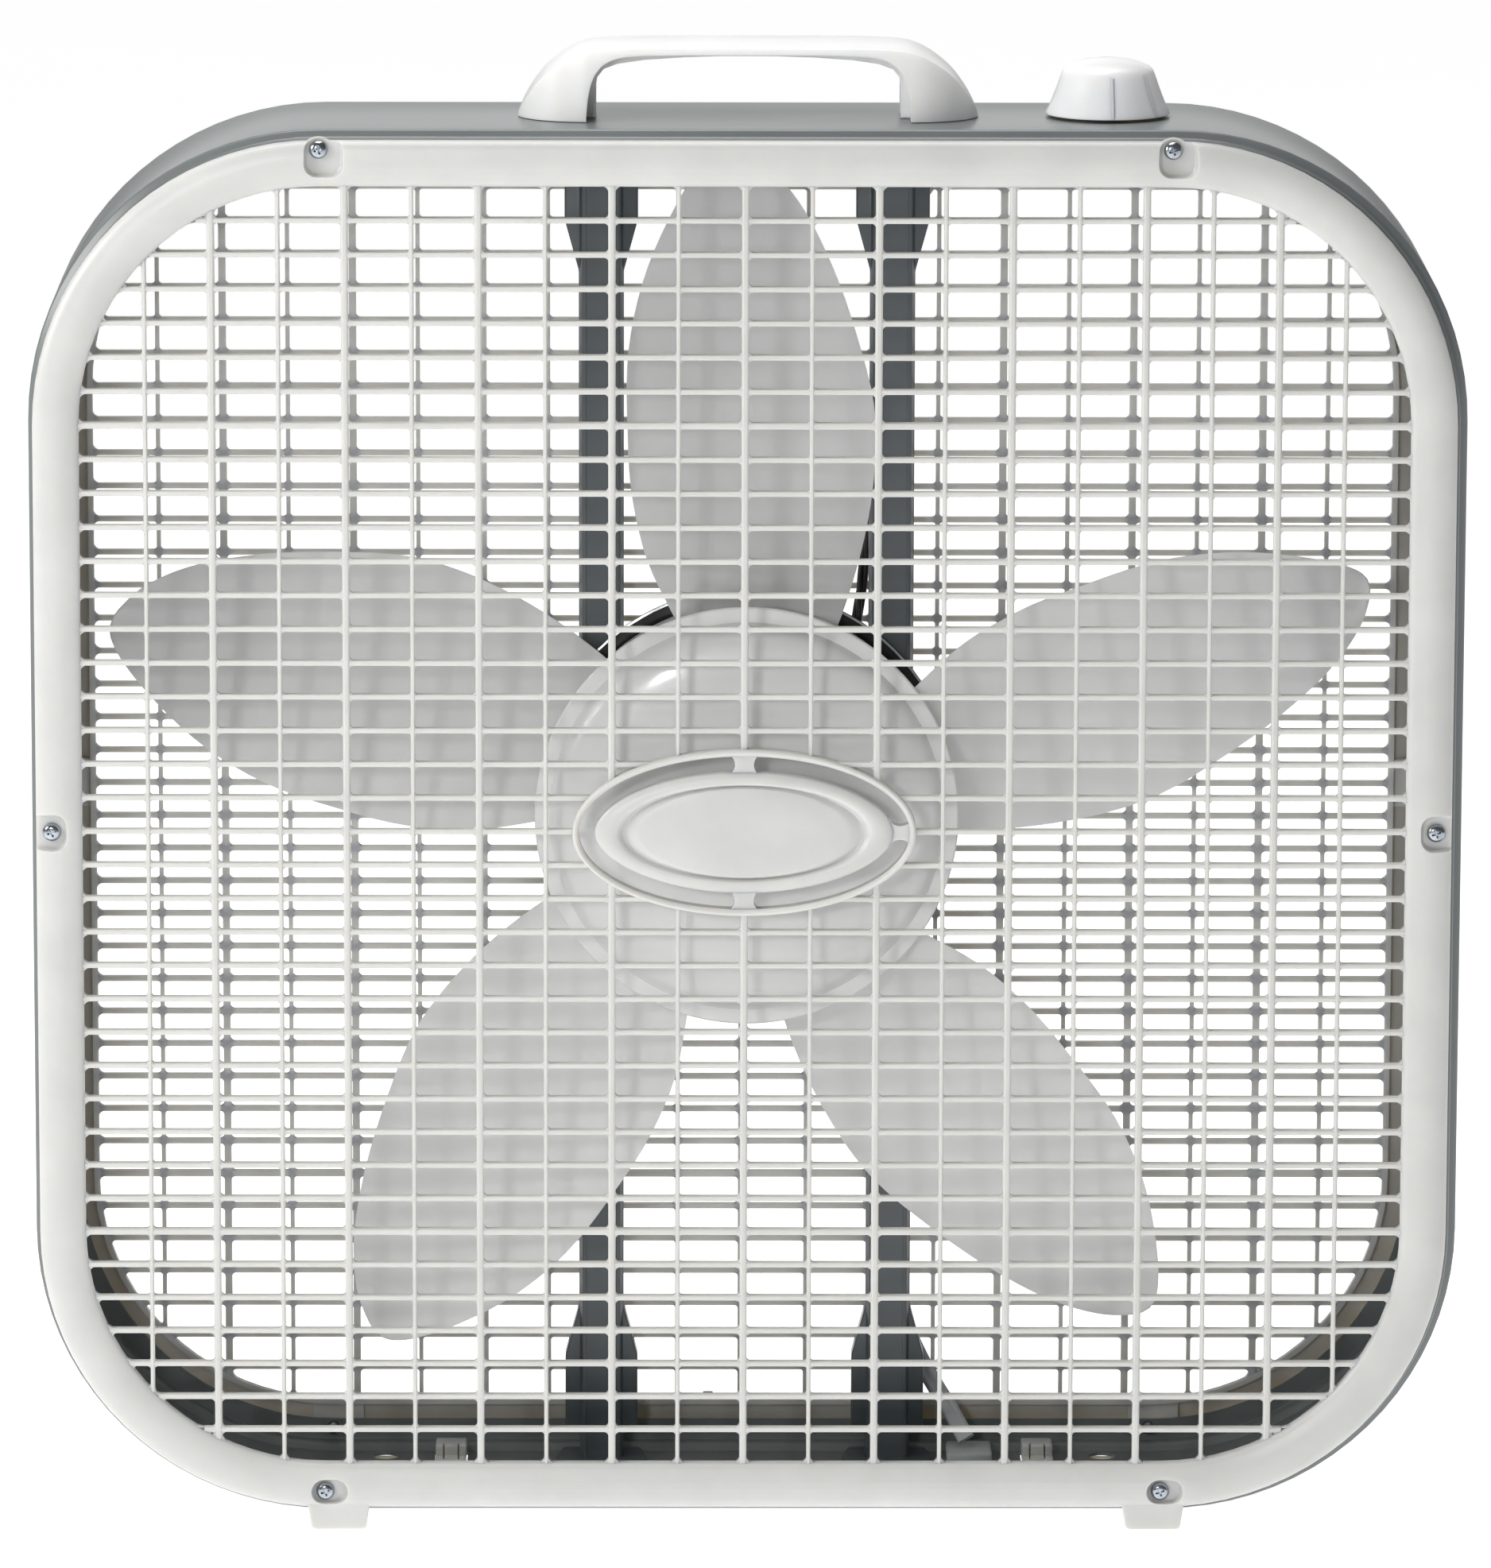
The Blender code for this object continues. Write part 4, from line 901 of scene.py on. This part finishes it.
def make_handle(look):
    """The bridge handle: a domed shell on two hollow feet, a web under it and hooks through the wrapper."""
    base = TOP_Z + GAP
    origin = (0.0, 0.0, base)
    over = [(-88.2, 1), (-86.4, 5.2), (-83.2, 10.6), (-78.8, 16.2), (-74, 20.4), (-68, 24.2), (-61, 26.8)]
    over += [(-48, 27.8), (-30, 28.0), (-8, 28.0)]
    under = [(-62, 1), (-61.3, 9), (-59.8, 15.4), (-57.4, 19.8), (-53.5, 23), (-46, 24.9), (-30, 25.5),
        (-8, 25.6)]
    web_over = [(-80, 0), (-80, 12), (-72, 19.5), (-62, 24), (-48, 26), (-20, 26.5)]
    web_under = [(-10, 23.6), (-25, 23.1), (-40, 22.1), (-50, 20.6), (-55.4, 18.6), (-57.8, 15.5)]
    web_under += [(-58.3, 12.5), (-58.3, 0)]
    deep = HANDLE_HALF_D + 2 * MM

    def prism(outline, low, high):
        made = bmesh.new()
        add_prism(made, [(x, base + z) for x, z in outline], "Y", low, high)
        return made

    handle = object_from("handle_grip_bar", prism(smooth_outline(over, -8), -deep, deep))
    plan = bmesh.new()
    add_prism(plan, handle_plan(), "Z", base - 6 * MM, base + 40 * MM)
    boolean(handle, plan, "INTERSECT")
    apply_modifiers(handle)
    bevel(handle, 5.0 * MM, 6, 35)
    boolean(handle, prism(smooth_outline(under, -12), -deep - MM, deep + MM))
    ground = bmesh.new()
    add_block(ground, origin, (-100, 100), (-40, 40), (-20, 0))
    boolean(handle, ground)
    outline = mirrored(web_over) + mirrored(web_under[::-1])[::-1]
    boolean(handle, prism([(x * MM, z * MM) for x, z in outline], -8.2 * MM, 9.2 * MM), "UNION")

    hollow, hooks = bmesh.new(), bmesh.new()
    for side in (-1, 1):
        add_block(hollow, origin, (side * 54, side * 78), (-5.9, 6.9), (-1, 13))
        for way in (-1, 1):
            add_block(hollow, origin, (side * 65, side * 78), (way * 10.5, way * 15), (-2, 9))
        add_block(hooks, origin, (side * 69, side * 79), (-1.5, 1.5), (-6.3, 15))
    boolean(handle, hollow)
    boolean(handle, hooks, "UNION")
    apply_modifiers(handle)
    settle(handle, look, HOUSING, "handle", slot="white_plastic")


def make_knob(look):
    """The speed knob: a tapered skirt with a domed top, thin ribs and an inner socket for the shaft."""
    centre = (KNOB_X, 0.0, TOP_Z)
    outer = [(23.6, 1.2), (23.9, 1.5), (23.6, 2.4), (22.5, 4.4), (21.0, 8.0), (19.5, 12.0), (18.2, 15.8),
        (17.5, 17.6)]
    outer += [(16.9, 18.6), (15.8, 19.5), (13.0, 20.7), (9.5, 21.7), (5.0, 22.4), (0, 22.6)]
    inner = [(0, 15.0), (3.3, 15.0), (3.3, 6.0), (6.0, 6.0), (6.0, 16.8), (14.8, 16.4), (18.2, 9.0),
        (21.6, 1.2)]
    bm = bmesh.new()
    add_lathe(bm, [(r * MM, h * MM) for r, h in inner + outer], "Z", centre, sides=96)
    rib_profile = [(23.7, 2.0), (22.5, 4.4), (21.0, 8.0), (19.5, 12.0), (18.2, 15.8), (17.9, 16.6)]
    for angle in (-87, -40, 93, 140):
        add_rib(bm, centre, math.radians(angle), rib_profile)
    knob = object_from("speed_knob_cap", bm, 0.7)
    settle(knob, look, KNOB, "speed_knob", slot="white_plastic")


def add_rib(bm, centre, angle, profile):
    """A thin raised rib down the knob's skirt."""
    way = Vector((math.cos(angle), math.sin(angle), 0))
    half, proud = Vector((-way.y, way.x, 0)) * 0.8 * MM, way * MM
    ridge = [(-1, 0.0), (-0.8, 0.62), (-0.35, 0.95), (0.35, 0.95), (0.8, 0.62), (1, 0.0)]
    sections = []
    for radius, height in profile:
        base = Vector(centre) + way * (radius - 0.6) * MM + Vector((0, 0, height * MM))
        sections.append([base + half * across + proud * up for across, up in ridge])
    add_loft(bm, sections)


# ---------------------------------------------------------------- struts and motor


def strut_outline(inset, end):
    """The outline in (x, z) of the strut's back plate: a narrow bar that flares at both ends."""
    narrow, wide = 8.75 * MM - inset, 14.25 * MM - inset
    low, high = 206 * MM, 226 * MM
    half = [(wide, -end), (wide, -high), (narrow, -low), (narrow, low), (wide, high), (wide, end)]
    return rounded_path(mirrored(half), 7 * MM, steps=4)


def add_strut_bar(bm, x, end, steps):
    """A bar up the strut through rectangles given as (y, half width)."""
    add_loft(bm, [[(x + a, y, AXIS_Z + z) for a, z in rectangle(half, end)] for y, half in steps])


def make_struts(look):
    """The two pressed channels that carry the motor plate: a raised rib between ears set further back."""
    front, back = strut_low.y, strut_high.y
    step = front + 2.3 * MM
    end = CASING_HALF_H - SHEET - GAP
    ears_end = end - 12.5 * MM
    rise = [(back, 8.6 * MM), (step, 8.5 * MM), (front + 0.9 * MM, 7.75 * MM), (front + 0.25 * MM, 7.45 * MM)]
    rise.append((front, 7.0 * MM))
    bore = [(back + 2 * MM, 7.3 * MM), (step, 7.2 * MM), (front + SHEET, 6.2 * MM)]
    recess = [(front - MM, 6.4 * MM), (front + GAP, 5.9 * MM)]
    for label, side in (("left", -1), ("right", 1)):
        middle = side * STRUT_X

        def ears(inset, low, high):
            made = bmesh.new()
            outline = strut_outline(inset, ears_end - inset)
            add_prism(made, [(middle + p.x, AXIS_Z + p.y) for p in outline], "Y", low, high)
            return made

        def bar(half_length, steps):
            made = bmesh.new()
            add_strut_bar(made, middle, half_length, steps)
            return made

        strut = object_from(f"{label}_strut_channel", ears(0.0, step, back))
        bevel(strut, 0.9 * MM, 3, 50)
        boolean(strut, bar(end, rise), "UNION")
        boolean(strut, ears(SHEET, step + SHEET, back + 2 * MM))
        boolean(strut, bar(end - SHEET, bore))
        boolean(strut, bar(end + MM, recess))
        foot = bmesh.new()
        outline = [(middle + x * MM, front + y * MM) for x, y in mirrored([(15, 17), (18, 1), (18, -4)])]
        points = rounded_path(outline, 2.5 * MM, steps=4, closed=True)
        for way in (-1, 1):
            base = AXIS_Z + way * (end - 0.9 * MM)
            add_prism(foot, points, "Z", *sorted((base - way * GAP, base + way * 0.9 * MM)))
        boolean(strut, foot, "UNION")
        apply_modifiers(strut)
        settle(strut, look, HOUSING, f"{label}_strut")


def turned(name, profile, sides=64, smooth_angle=0.6):
    """A piece turned about the rotor's axis from (radius, y) points in mm."""
    bm = bmesh.new()
    add_lathe(bm, [(r * MM, y * MM) for r, y in profile], "Y", (0.0, 0.0, AXIS_Z), sides)
    return object_from(name, bm, smooth_angle)


def add_vents(cuts, y_range, count, start, radius_range, half):
    """A ring of slots about the axis for a motor cover."""
    middle, half_length = sum(radius_range) / 2, (radius_range[1] - radius_range[0]) / 2
    slot = rounded_path(rectangle(half_length, half), half * 0.9, steps=5, closed=True)
    for i in range(count):
        turn = Matrix.Rotation(start + 2 * math.pi * i / count, 2)
        points = [turn @ (p + Vector((middle, 0.0))) for p in slot]
        add_prism(cuts, [(p.x, p.y + AXIS_Z) for p in points], "Y", *y_range)


def make_motor(looks):
    """The motor's plate, covers and windings; its core, rotor, bearings, shaft and hub clip keep their CAD
    shapes and get their materials.
    """
    low, high = (y / MM for y in PLATE_Y)
    edge = PLATE_R / MM
    profile = [(12.0, low), (56.0, low), (58.0, low + 0.5), (70.0, low + 0.5), (72.0, low), (edge - 0.3, low)]
    profile += [(edge, low + 0.3), (edge, high - 0.3), (edge - 0.3, high), (72.4, high), (70.4, high - 0.1)]
    profile += [(57.6, high - 0.1), (55.6, high), (12.0, high)]
    plate = turned("motor_plate_disc", profile, 96)
    cuts = bmesh.new()
    through = (PLATE_Y[0] - MM, PLATE_Y[1] + MM)
    for i in range(4):
        a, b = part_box(f"motor_screw_{i + 1}")
        add_cylinder(cuts, ((a.x + b.x) / 2, (a.z + b.z) / 2), 2.2 * MM, "Y", *through, 16)
    add_cylinder(cuts, LEAD_HOLE, 4.2 * MM, "Y", *through, 24)
    boolean(plate, cuts)
    apply_modifiers(plate)
    settle(plate, looks["black_steel"], HOUSING, "motor_plate")
    # a thin bright steel ring on the front of the black plate's rim: a painted highlight of the rim
    rim_highlight = [(edge - 0.9, low - 0.2), (edge - 0.1, low - 0.05), (edge - 0.1, low + 0.2),
        (edge - 0.9, low + 0.2)]
    settle(turned("motor_plate_painted_rim_highlight", rim_highlight, 96), looks["bright_steel"], HOUSING, slot="bright_steel")

    # y of a cover's face, bend and rim outside, then of its bend and face inside, and its vents' ends
    covers = {
        "motor_front_cover": (-20.5, -16, 3.6, -15.2, -18.8, (-24, -17)),
        "motor_rear_cover": (23.6, 20, 4.2, 19.4, 22.0, (21, 27)),
    }
    for node, (face, bend, rim, inner_bend, inner, ends) in covers.items():
        cup = [(9.2, face), (30, face), (44, face), (47.4, (face * 2 + bend) / 3),
            (49.0, (face + bend * 2) / 3)]
        cup += [(49.5, bend), (49.5, rim), (47.8, rim), (47.8, inner_bend), (43.4, inner), (9.2, inner)]
        cover = turned(f"{node}_pressing", cup, 72)
        cuts = bmesh.new()
        add_vents(cuts, [y * MM for y in ends], 8, 0.2, (24 * MM, 38 * MM), 2.6 * MM)
        boolean(cover, cuts)
        apply_modifiers(cover)
        settle(cover, looks["bright_steel"], HOUSING, node)

    make_windings(looks["copper"])
    kept = {"stator_core": "lamination", "motor_rotor": "lamination", "front_bearing": "bronze"}
    kept |= {"rear_bearing": "bronze", "motor_shaft": "bright_steel", "hub_clip": "bright_steel"}
    for node, name in kept.items():
        dress(node, looks[name])


def dress(node, look):
    """Gives a CAD node that keeps its shape its finished material."""
    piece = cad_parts[node]
    piece.data.materials.clear()
    piece.data.materials.append(look)


def make_windings(look):
    """Both ends of the stator's coils: lobes of wound wire."""
    count, radius, depth = 96, 35.2 * MM, 6.4 * MM
    for node, y0, y1 in (("front_winding", -15.0, -6.4), ("rear_winding", 14.4, 20.8)):
        middle, half_depth = (y0 + y1) / 2 * MM, (y1 - y0) / 2 * MM
        rings = []
        for i in range(count):
            a = 2 * math.pi * i / count
            swell = 1 + 0.06 * math.cos(8 * a)
            section = []
            for u, v in circle(swell, sides=16):
                r, y = radius + depth * u, middle + half_depth * 0.97 / 1.06 * v
                section.append((r * math.cos(a), y, AXIS_Z + r * math.sin(a)))
            rings.append(section)
        bm = bmesh.new()
        add_loft(bm, rings, ring=True)
        settle(object_from(f"{node}_coils", bm), look, HOUSING, node)


# ---------------------------------------------------------------- rotor


def blade_point(station, v, turn, thick):
    """A point of the blade: v runs from its trailing to its leading edge, thick is along the axis."""
    radius, trail, lead, y_trail, y_lead = station
    a = math.radians(trail + (lead - trail) * v) + turn
    chord = radius * math.radians(lead - trail)
    bow = 5.0 * MM * 4 * v * (1 - v) * min(1.0, chord / 90)
    y = (y_trail + (y_lead - y_trail) * v) * MM + bow + thick
    r = radius * MM
    return Vector((r * math.sin(a), y, AXIS_Z + r * math.cos(a)))


def blade_stations(count):
    """The stations of the blade, with more between them on smooth curves."""
    last = len(BLADE_STATIONS) - 1
    stations = []
    for j in range(count + 1):
        place = j / count * last
        i = min(int(place), last - 1)
        near = [BLADE_STATIONS[max(0, min(last, i + k))] for k in (-1, 0, 1, 2)]
        stations.append(tuple(spline(*values, place - i) for values in zip(*near)))
    return stations


def add_blade(bm, turn):
    """One swept, twisted and cambered blade with rounded edges."""
    across, along = 18, 40
    stations = blade_stations(along)
    stations[0] = (76.4,) + stations[0][1:]
    rows = []
    for j, station in enumerate(stations):
        taper = 1.25 - 0.5 * station[0] / 258
        row = []
        for i in range(across + 1):
            v = i / across
            thin = min(1.0, 0.35 + 4.5 * min(v, 1 - v), 0.4 + 0.35 * (along - j))
            row.append((v, MM * taper * thin))
        front = [blade_point(station, v, turn, -t) for v, t in row]
        back = [blade_point(station, v, turn, t) for v, t in reversed(row)]
        rows.append(front + back)
    add_loft(bm, rows)


def make_rotor(looks):
    """The moulded fan: a dished hub with a flange and a ribbed inside, and five blades."""
    outer = [(4.3, -29.6), (12, -30.0), (30, -30.2), (46, -29.9), (58, -29.0), (66, -27.6), (71, -26.0)]
    outer += [(74.2, -23.8), (75.6, -21.6), (76.2, -20.4), (81.4, -20.2), (82, -19.7), (82, -18.6),
        (81.4, -18.1)]
    outer += [(80.3, -17.6), (80, -17.0), (77.1, 19.6), (76.8, 20)]
    inner = [(75.4, 20), (75.2, 19.6), (78, -17), (73.8, -20.8), (69.5, -24.2), (57, -27.0), (30, -28.2)]
    inner += [(9.4, -27.6), (9.4, -22.4), (4.3, -22.4)]
    hub = turned("fan_hub", outer + inner, 128, 0.5)
    settle(hub, looks["fan_plastic"], ROTOR, "fan_blade")
    bm = bmesh.new()
    for i in range(BLADE_COUNT):
        add_blade(bm, 2 * math.pi * i / BLADE_COUNT)
    blades = object_from("fan_blades", bm, 1.0)
    settle(blades, looks["fan_plastic"], ROTOR, "fan_blade")


# ---------------------------------------------------------------- wiring


def from_axis(points):
    """Route points given with z measured from the rotor's axis, in mm, as vectors in metres."""
    return [Vector((x, y, z + AXIS_Z / MM)) * MM for x, y, z in points]





def twin_section(width=CORD_WIDTH, thick=CORD_THICK):
    """Two conductors side by side with a groove between them, as (across, up)."""
    half, offset = thick / 2, (width - thick) / 2
    turns = [math.radians(-115 + 230 * i / 12) for i in range(13)]
    right = [(offset + half * math.cos(a), half * math.sin(a)) for a in turns] + [(0.0, half * 0.72)]
    return right + [(-x, -z) for x, z in right]


def make_inner_wiring(looks):
    """The motor's sleeved lead, the flat lead down the right strut, the switch, and the grommet."""
    motor_lead = from_axis([
        (36.2, 12, 37.5), (38.2, 17.5, 40.5), (39.6, 24.8, 43), (40.8, 32, 49), (42.8, 38.5, 61),
        (45, 42.2, 79),
        (48, 43, 100), (51.5, 40, 121), (53.2, 35, 141), (53.2, 33.5, 165), (53.2, 33.5, 195),
        (53.2, 33.5, 225),
        (56, 37, 246), (68, 42.5, 257), (86, 40, 261), (104, 28, 260), (110.5, 12, 258), (116, 6.4, 256.4),
        (122, 6, 256),
    ])
    bm = bmesh.new()
    add_wire_bundle(bm, smooth_route(motor_lead, 3 * MM))
    settle(object_from("motor_lead_wires", bm, 1.0), looks["black_wire"], HOUSING, "motor_lead")

    inner_lead = from_axis([
        (122.2, -6, 251.5), (115, -4.5, 251.8), (109, 2, 252.4), (101, 15, 253), (86, 32, 252),
        (75, 40.5, 244),
        (65, 40, 231), (61.4, 35, 214), (61.2, 33.5, 190), (61.2, 33.5, 140), (61.2, 33.5, 60),
        (61.2, 33.5, -60),
        (61.2, 33.5, -150), (61.2, 35, -185), (61.6, 40, -204), (64.5, 43, -219), (72.5, 42, -236),
        (82, 37, -251),
        (88, 31, -261),
    ])
    bm = bmesh.new()
    add_tube(bm, smooth_route(inner_lead, 4 * MM), twin_section(7.1 * MM, 3.4 * MM), up=Vector((0, 1, 0.02)))
    settle(object_from("inner_lead_flat", bm, 1.0), looks["grey_cord"], HOUSING, "inner_lead")
    make_switch(looks)
    make_grommet(looks["grey_cord"])


def add_wire_bundle(bm, line):
    """Three insulated wires twisted along a line."""
    strands, radius, turn_per_point = 3, 1.15 * MM, 0.28
    up = Vector((0, 1, 0.1))
    for k in range(strands):
        strand = []
        for i, p in enumerate(line):
            way = way_along(line, i)
            side = way.cross(up).normalized()
            above = side.cross(way)
            a = 2 * math.pi * k / strands + i * turn_per_point
            strand.append(p + (side * math.cos(a) + above * math.sin(a)) * radius)
        add_tube(bm, strand, circle(radius, sides=10), up)


def make_switch(looks):
    """The rotary switch's body; the nut and the shaft keep their CAD shapes."""
    low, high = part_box("switch_body")
    under = TOP_Z - SHEET - GAP
    bm = bmesh.new()
    add_box(bm, low, (high.x, high.y, under))
    body = object_from("switch_body_housing", bm)
    bevel(body, 1.2 * MM, 2)
    neck = bmesh.new()
    add_cylinder(neck, (KNOB_X, 0.0), 4.8 * MM, "Z", under - 2 * MM, TOP_Z + 4.5 * MM, 24)
    boolean(body, neck, "UNION")
    bore = bmesh.new()
    add_cylinder(bore, (KNOB_X, 0.0), 3.4 * MM, "Z", under - 15 * MM, TOP_Z + 6 * MM, 24)
    boolean(body, bore)
    grooves = bmesh.new()
    length = (high.x - low.x) / MM
    for share in (0.35, 0.62):
        for y in (low.y, high.y):
            add_block(grooves, (low.x, y, low.z + (under - low.z) * share), (-1, length + 1), (-0.5, 0.5),
                (-0.4, 0.4))
    boolean(body, grooves)
    apply_modifiers(body)
    settle(body, looks["black_plastic"], HOUSING, "switch_body")
    for node in ("switch_nut", "switch_shaft"):
        dress(node, looks["zinc"])


def make_grommet(look):
    """The cord's strain relief: a block on the wrapper's floor and a tapered, ribbed sleeve."""
    floor = BOTTOM_Z + SHEET
    bm = bmesh.new()
    add_block(bm, (CORD_X, 0.0, floor), (-9, 9), (20, 42), (0.3, 4.5))
    block = object_from("cord_strain_relief", bm)
    bevel(block, 1.2 * MM, 3)
    nose = bmesh.new()
    add_block(nose, (CORD_X, 0.0, 0.0), (-7, 7), (22.5, 39.5), (0.8, floor / MM + 2))
    boolean(block, nose, "UNION")
    rings = []
    steps = 20
    for i in range(steps + 1):
        t = i / steps
        half = (6.0 - 1.9 * t) * MM * (1.0 if i % 4 in (0, 1) else 0.9)
        tall = (1.85 - 0.15 * t) * MM
        outline = rounded_path(rectangle(half, tall), 1.2 * MM, steps=3, closed=True)
        rings.append([(CORD_X + p.x, (38 + 20 * t) * MM, 2.75 * MM + p.y) for p in outline])
    sleeve = bmesh.new()
    add_loft(sleeve, rings)
    boolean(block, sleeve, "UNION")
    apply_modifiers(block)
    settle(block, look, HOUSING, "cord_grommet")


def ease(t):
    """A smooth step from 0 to 1."""
    t = max(0.0, min(1.0, t))
    return t * t * (3 - 2 * t)


def fold(radius, start, end, side, level, step=math.radians(12)):
    """Points of a fold of the hank. Angles run anticlockwise from +X; level(share) is the height."""
    centre = HANK_CENTRE + Vector((side * HANK_RUN / 2, 0))
    count = max(1, round(abs(end - start) / step))
    points = []
    for i in range(count + 1):
        a = start + (end - start) * i / count
        points.append(Vector((centre.x + radius * math.cos(a), centre.y + radius * math.sin(a),
            level(i / count))))
    return points


def run(side, lane, level):
    """Points of a straight run: left to right nearest the fan (side -1), back again at the rear (side 1).

    lane(share) is its distance from the hank's middle and level(share) its height.
    """
    count = 22
    points = []
    for u in (i / count for i in range(1, count)):
        x = HANK_CENTRE.x - side * (u - 0.5) * HANK_RUN
        points.append(Vector((x, HANK_CENTRE.y + side * lane(u), level(u))))
    return points


def at(value):
    return lambda share: value


def shift(before, after, start, length):
    """A value that changes smoothly from before to after over a length of its share from start."""
    return lambda share: before + (after - before) * ease((share - start) / length)


def hank_line():
    """The cord's line through the hank: two turns side by side on each level, and one on top."""
    low, middle, top = LAYERS
    wide, narrow = FOLD_OUTER, FOLD_INNER
    quarter = math.pi / 2
    # each fold's radius and height, then the lane and the height of the run after it
    legs = [
        (wide, at(low), at(wide), at(low)),
        (wide, at(low), shift(wide, narrow, 0.55, 0.45), at(low)),
        (narrow, at(low), at(narrow), at(low)),
        (narrow, at(low), at(narrow), shift(low, middle, 0.25, 0.35)),
        (narrow, at(middle), at(narrow), at(middle)),
        (narrow, at(middle), shift(narrow, wide, 0.0, 0.35), shift(middle, low, 0.75, 0.25)),
        (wide, shift(low, middle, 0.3, 0.35), at(wide), at(middle)),
        (wide, shift(middle, top, 0.4, 0.6), shift(wide, narrow, 0.35, 0.4), at(top)),
        (narrow, at(top), at(narrow), at(top)),
    ]
    line = []
    for i, (radius, height, lane, level) in enumerate(legs):
        side = -1 if i % 2 else 1
        end = quarter if side > 0 else 3 * quarter
        start = end - 2 * quarter if i else math.radians(84)
        line += fold(radius, start, end, side, height) + run(side, lane, level)
    return line + fold(narrow, quarter, quarter + math.radians(24), -1, at(top))


def make_supply_cord(looks):
    """The free flat cord: out of the grommet, round into the hank, and off to its plug."""
    out = [(89, 57, 2.75), (89, 60, 2.5), (89, 64, 2.3), (89, 72, 2.0), (88.6, 82, 2.0), (86.4, 94, 2.0)]
    out += [(82.2, 104, 2.0), (76.4, 112.4, 2.0), (68, 118.6, 2.0), (58.5, 122.2, 2.0)]
    leaving = [(-88.2, 109.6, 9.4), (-96.4, 105.9, 9.2), (-103.4, 102.6, 8.2), (-109.4, 99.9, 7.25)]
    way = Vector((-math.cos(PLUG_TURN), -math.sin(PLUG_TURN), 0))
    knots = [Vector(p) * MM for p in out] + hank_line()
    knots += [Vector(p) * MM for p in leaving] + [PLUG_ENTRY + way * MM]
    line = smooth_route(knots, 2.5 * MM)
    bm = bmesh.new()
    add_tube(bm, line, twin_section())
    cord = object_from("supply_cord_flat", bm, 1.0)
    settle(cord, looks["grey_cord"], HOUSING, "supply_cord", "cord_hank")
    plug = make_plug(looks, way)
    ties = make_ties(looks["black_plastic"])


def make_plug(looks, way):
    """A moulded two-blade plug: a flared grip with ribs, and brass blades."""
    side, above = Vector((-way.y, way.x, 0)), Vector((0, 0, 1))

    def place(along, points):
        return [PLUG_ENTRY + (way * along + side * a + above * b) * MM for a, b in points]

    profile = [(0, 4.6, 3.2), (1, 5.4, 3.8), (3, 5.8, 4.2), (5, 5.2, 4.0), (7, 6.4, 4.6), (9, 6.0, 4.4)]
    profile += [(11, 7.2, 5.0), (13, 7.0, 4.9), (16, 8.8, 5.6), (20, 10.4, 6.1), (23, 11.2, 6.4),
        (25, 11.2, 6.4)]
    profile.append((26, 10.4, 5.8))
    sections = []
    for along, half_w, half_h in profile:
        corner = min(half_w, half_h) * 0.75
        sections.append(place(along, rounded_path(rectangle(half_w, half_h), corner, steps=5, closed=True)))
    bm = bmesh.new()
    add_loft(bm, sections)
    grip = settle(object_from("plug_grip", bm), looks["grey_cord"], HOUSING, "plug")
    bm, holes = bmesh.new(), bmesh.new()
    for offset in (-6.35, 6.35):
        blade = [(24, 3.2), (40, 3.2), (41.6, 2.4)]
        add_loft(bm, [place(along, [(offset + a, b) for a, b in rectangle(0.75, half)]) for along,
            half in blade])
        add_tube(holes, place(37.5, [(offset - 2, 0), (offset + 2, 0)]), circle(1.5 * MM, sides=20))
    blades = object_from("plug_blades", bm)
    bevel(blades, 0.25 * MM, 2)
    boolean(blades, holes)
    apply_modifiers(blades)
    settle(blades, looks["brass"], HOUSING, "plug", slot="zinc")
    return [grip, blades]


def make_ties(look):
    """Two wire ties, one round each side of the hank, with their tails bent into its middle."""
    spare = CORD_WIDTH / 2 + GAP
    inner, outer = FOLD_INNER - spare, FOLD_OUTER + spare
    under, top, shoulder = 0.32 * MM, 11.5 * MM, 7.8 * MM
    thick = 0.25 * MM
    along = Vector((2.0 * MM, 0, 0))
    ties = []
    for label, side in (("front", -1), ("rear", 1)):
        corners = [(inner, under), (outer, under), (outer, shoulder if side > 0 else top)]
        corners += [(inner + 7.6 * MM, top), (inner, top)]
        loop = rounded_path(corners, 1.6 * MM, steps=5, closed=True)
        sections = []
        for i, p in enumerate(loop):
            way = (loop[(i + 1) % len(loop)] - loop[i - 1]).normalized()
            out = Vector((0, side * way.y, -way.x)) * thick
            base = Vector((HANK_CENTRE.x, HANK_CENTRE.y + side * p.x, p.y))
            sections.append([base - along - out, base + along - out, base + along + out, base - along + out])
        bm = bmesh.new()
        add_loft(bm, sections, ring=True)
        start = Vector((HANK_CENTRE.x, HANK_CENTRE.y + side * inner, 0))
        for lean in (-1, 1):
            tail = [(0.0, 2.0, 11.5), (lean * 1.2, -1, 10.6), (lean * 4.6, -6, 7.2), (lean * 7.0, -10, 5.6)]
            line = smooth_route([start + Vector((x, side * y, z)) * MM for x, y, z in tail], MM)
            add_tube(bm, line, rectangle(MM, thick))
        ties.append(settle(object_from(f"cord_tie_{label}", bm), look, HOUSING))
    return ties


# ---------------------------------------------------------------- the fan


def main():
    make_camera()
    make_studio()
    looks = make_looks()
    make_supply_cord(looks)
    make_casing(looks["casing_paint"])
    make_grille("front_grille", "front_grille", -1, looks["white_plastic"])
    make_grille("rear_grille", "rear_grille", 1, looks["white_plastic"])
    make_screws(looks["zinc"])
    make_floor_clips(looks["white_plastic"])
    # the handle and knob take the lighter copy of the white plastic: painted light for the light on the top
    make_handle(looks["white_plastic_painted_light"])
    make_knob(looks["white_plastic_painted_light"])
    make_struts(looks["strut_paint"])
    make_motor(looks)
    make_rotor(looks)
    make_inner_wiring(looks)


main()
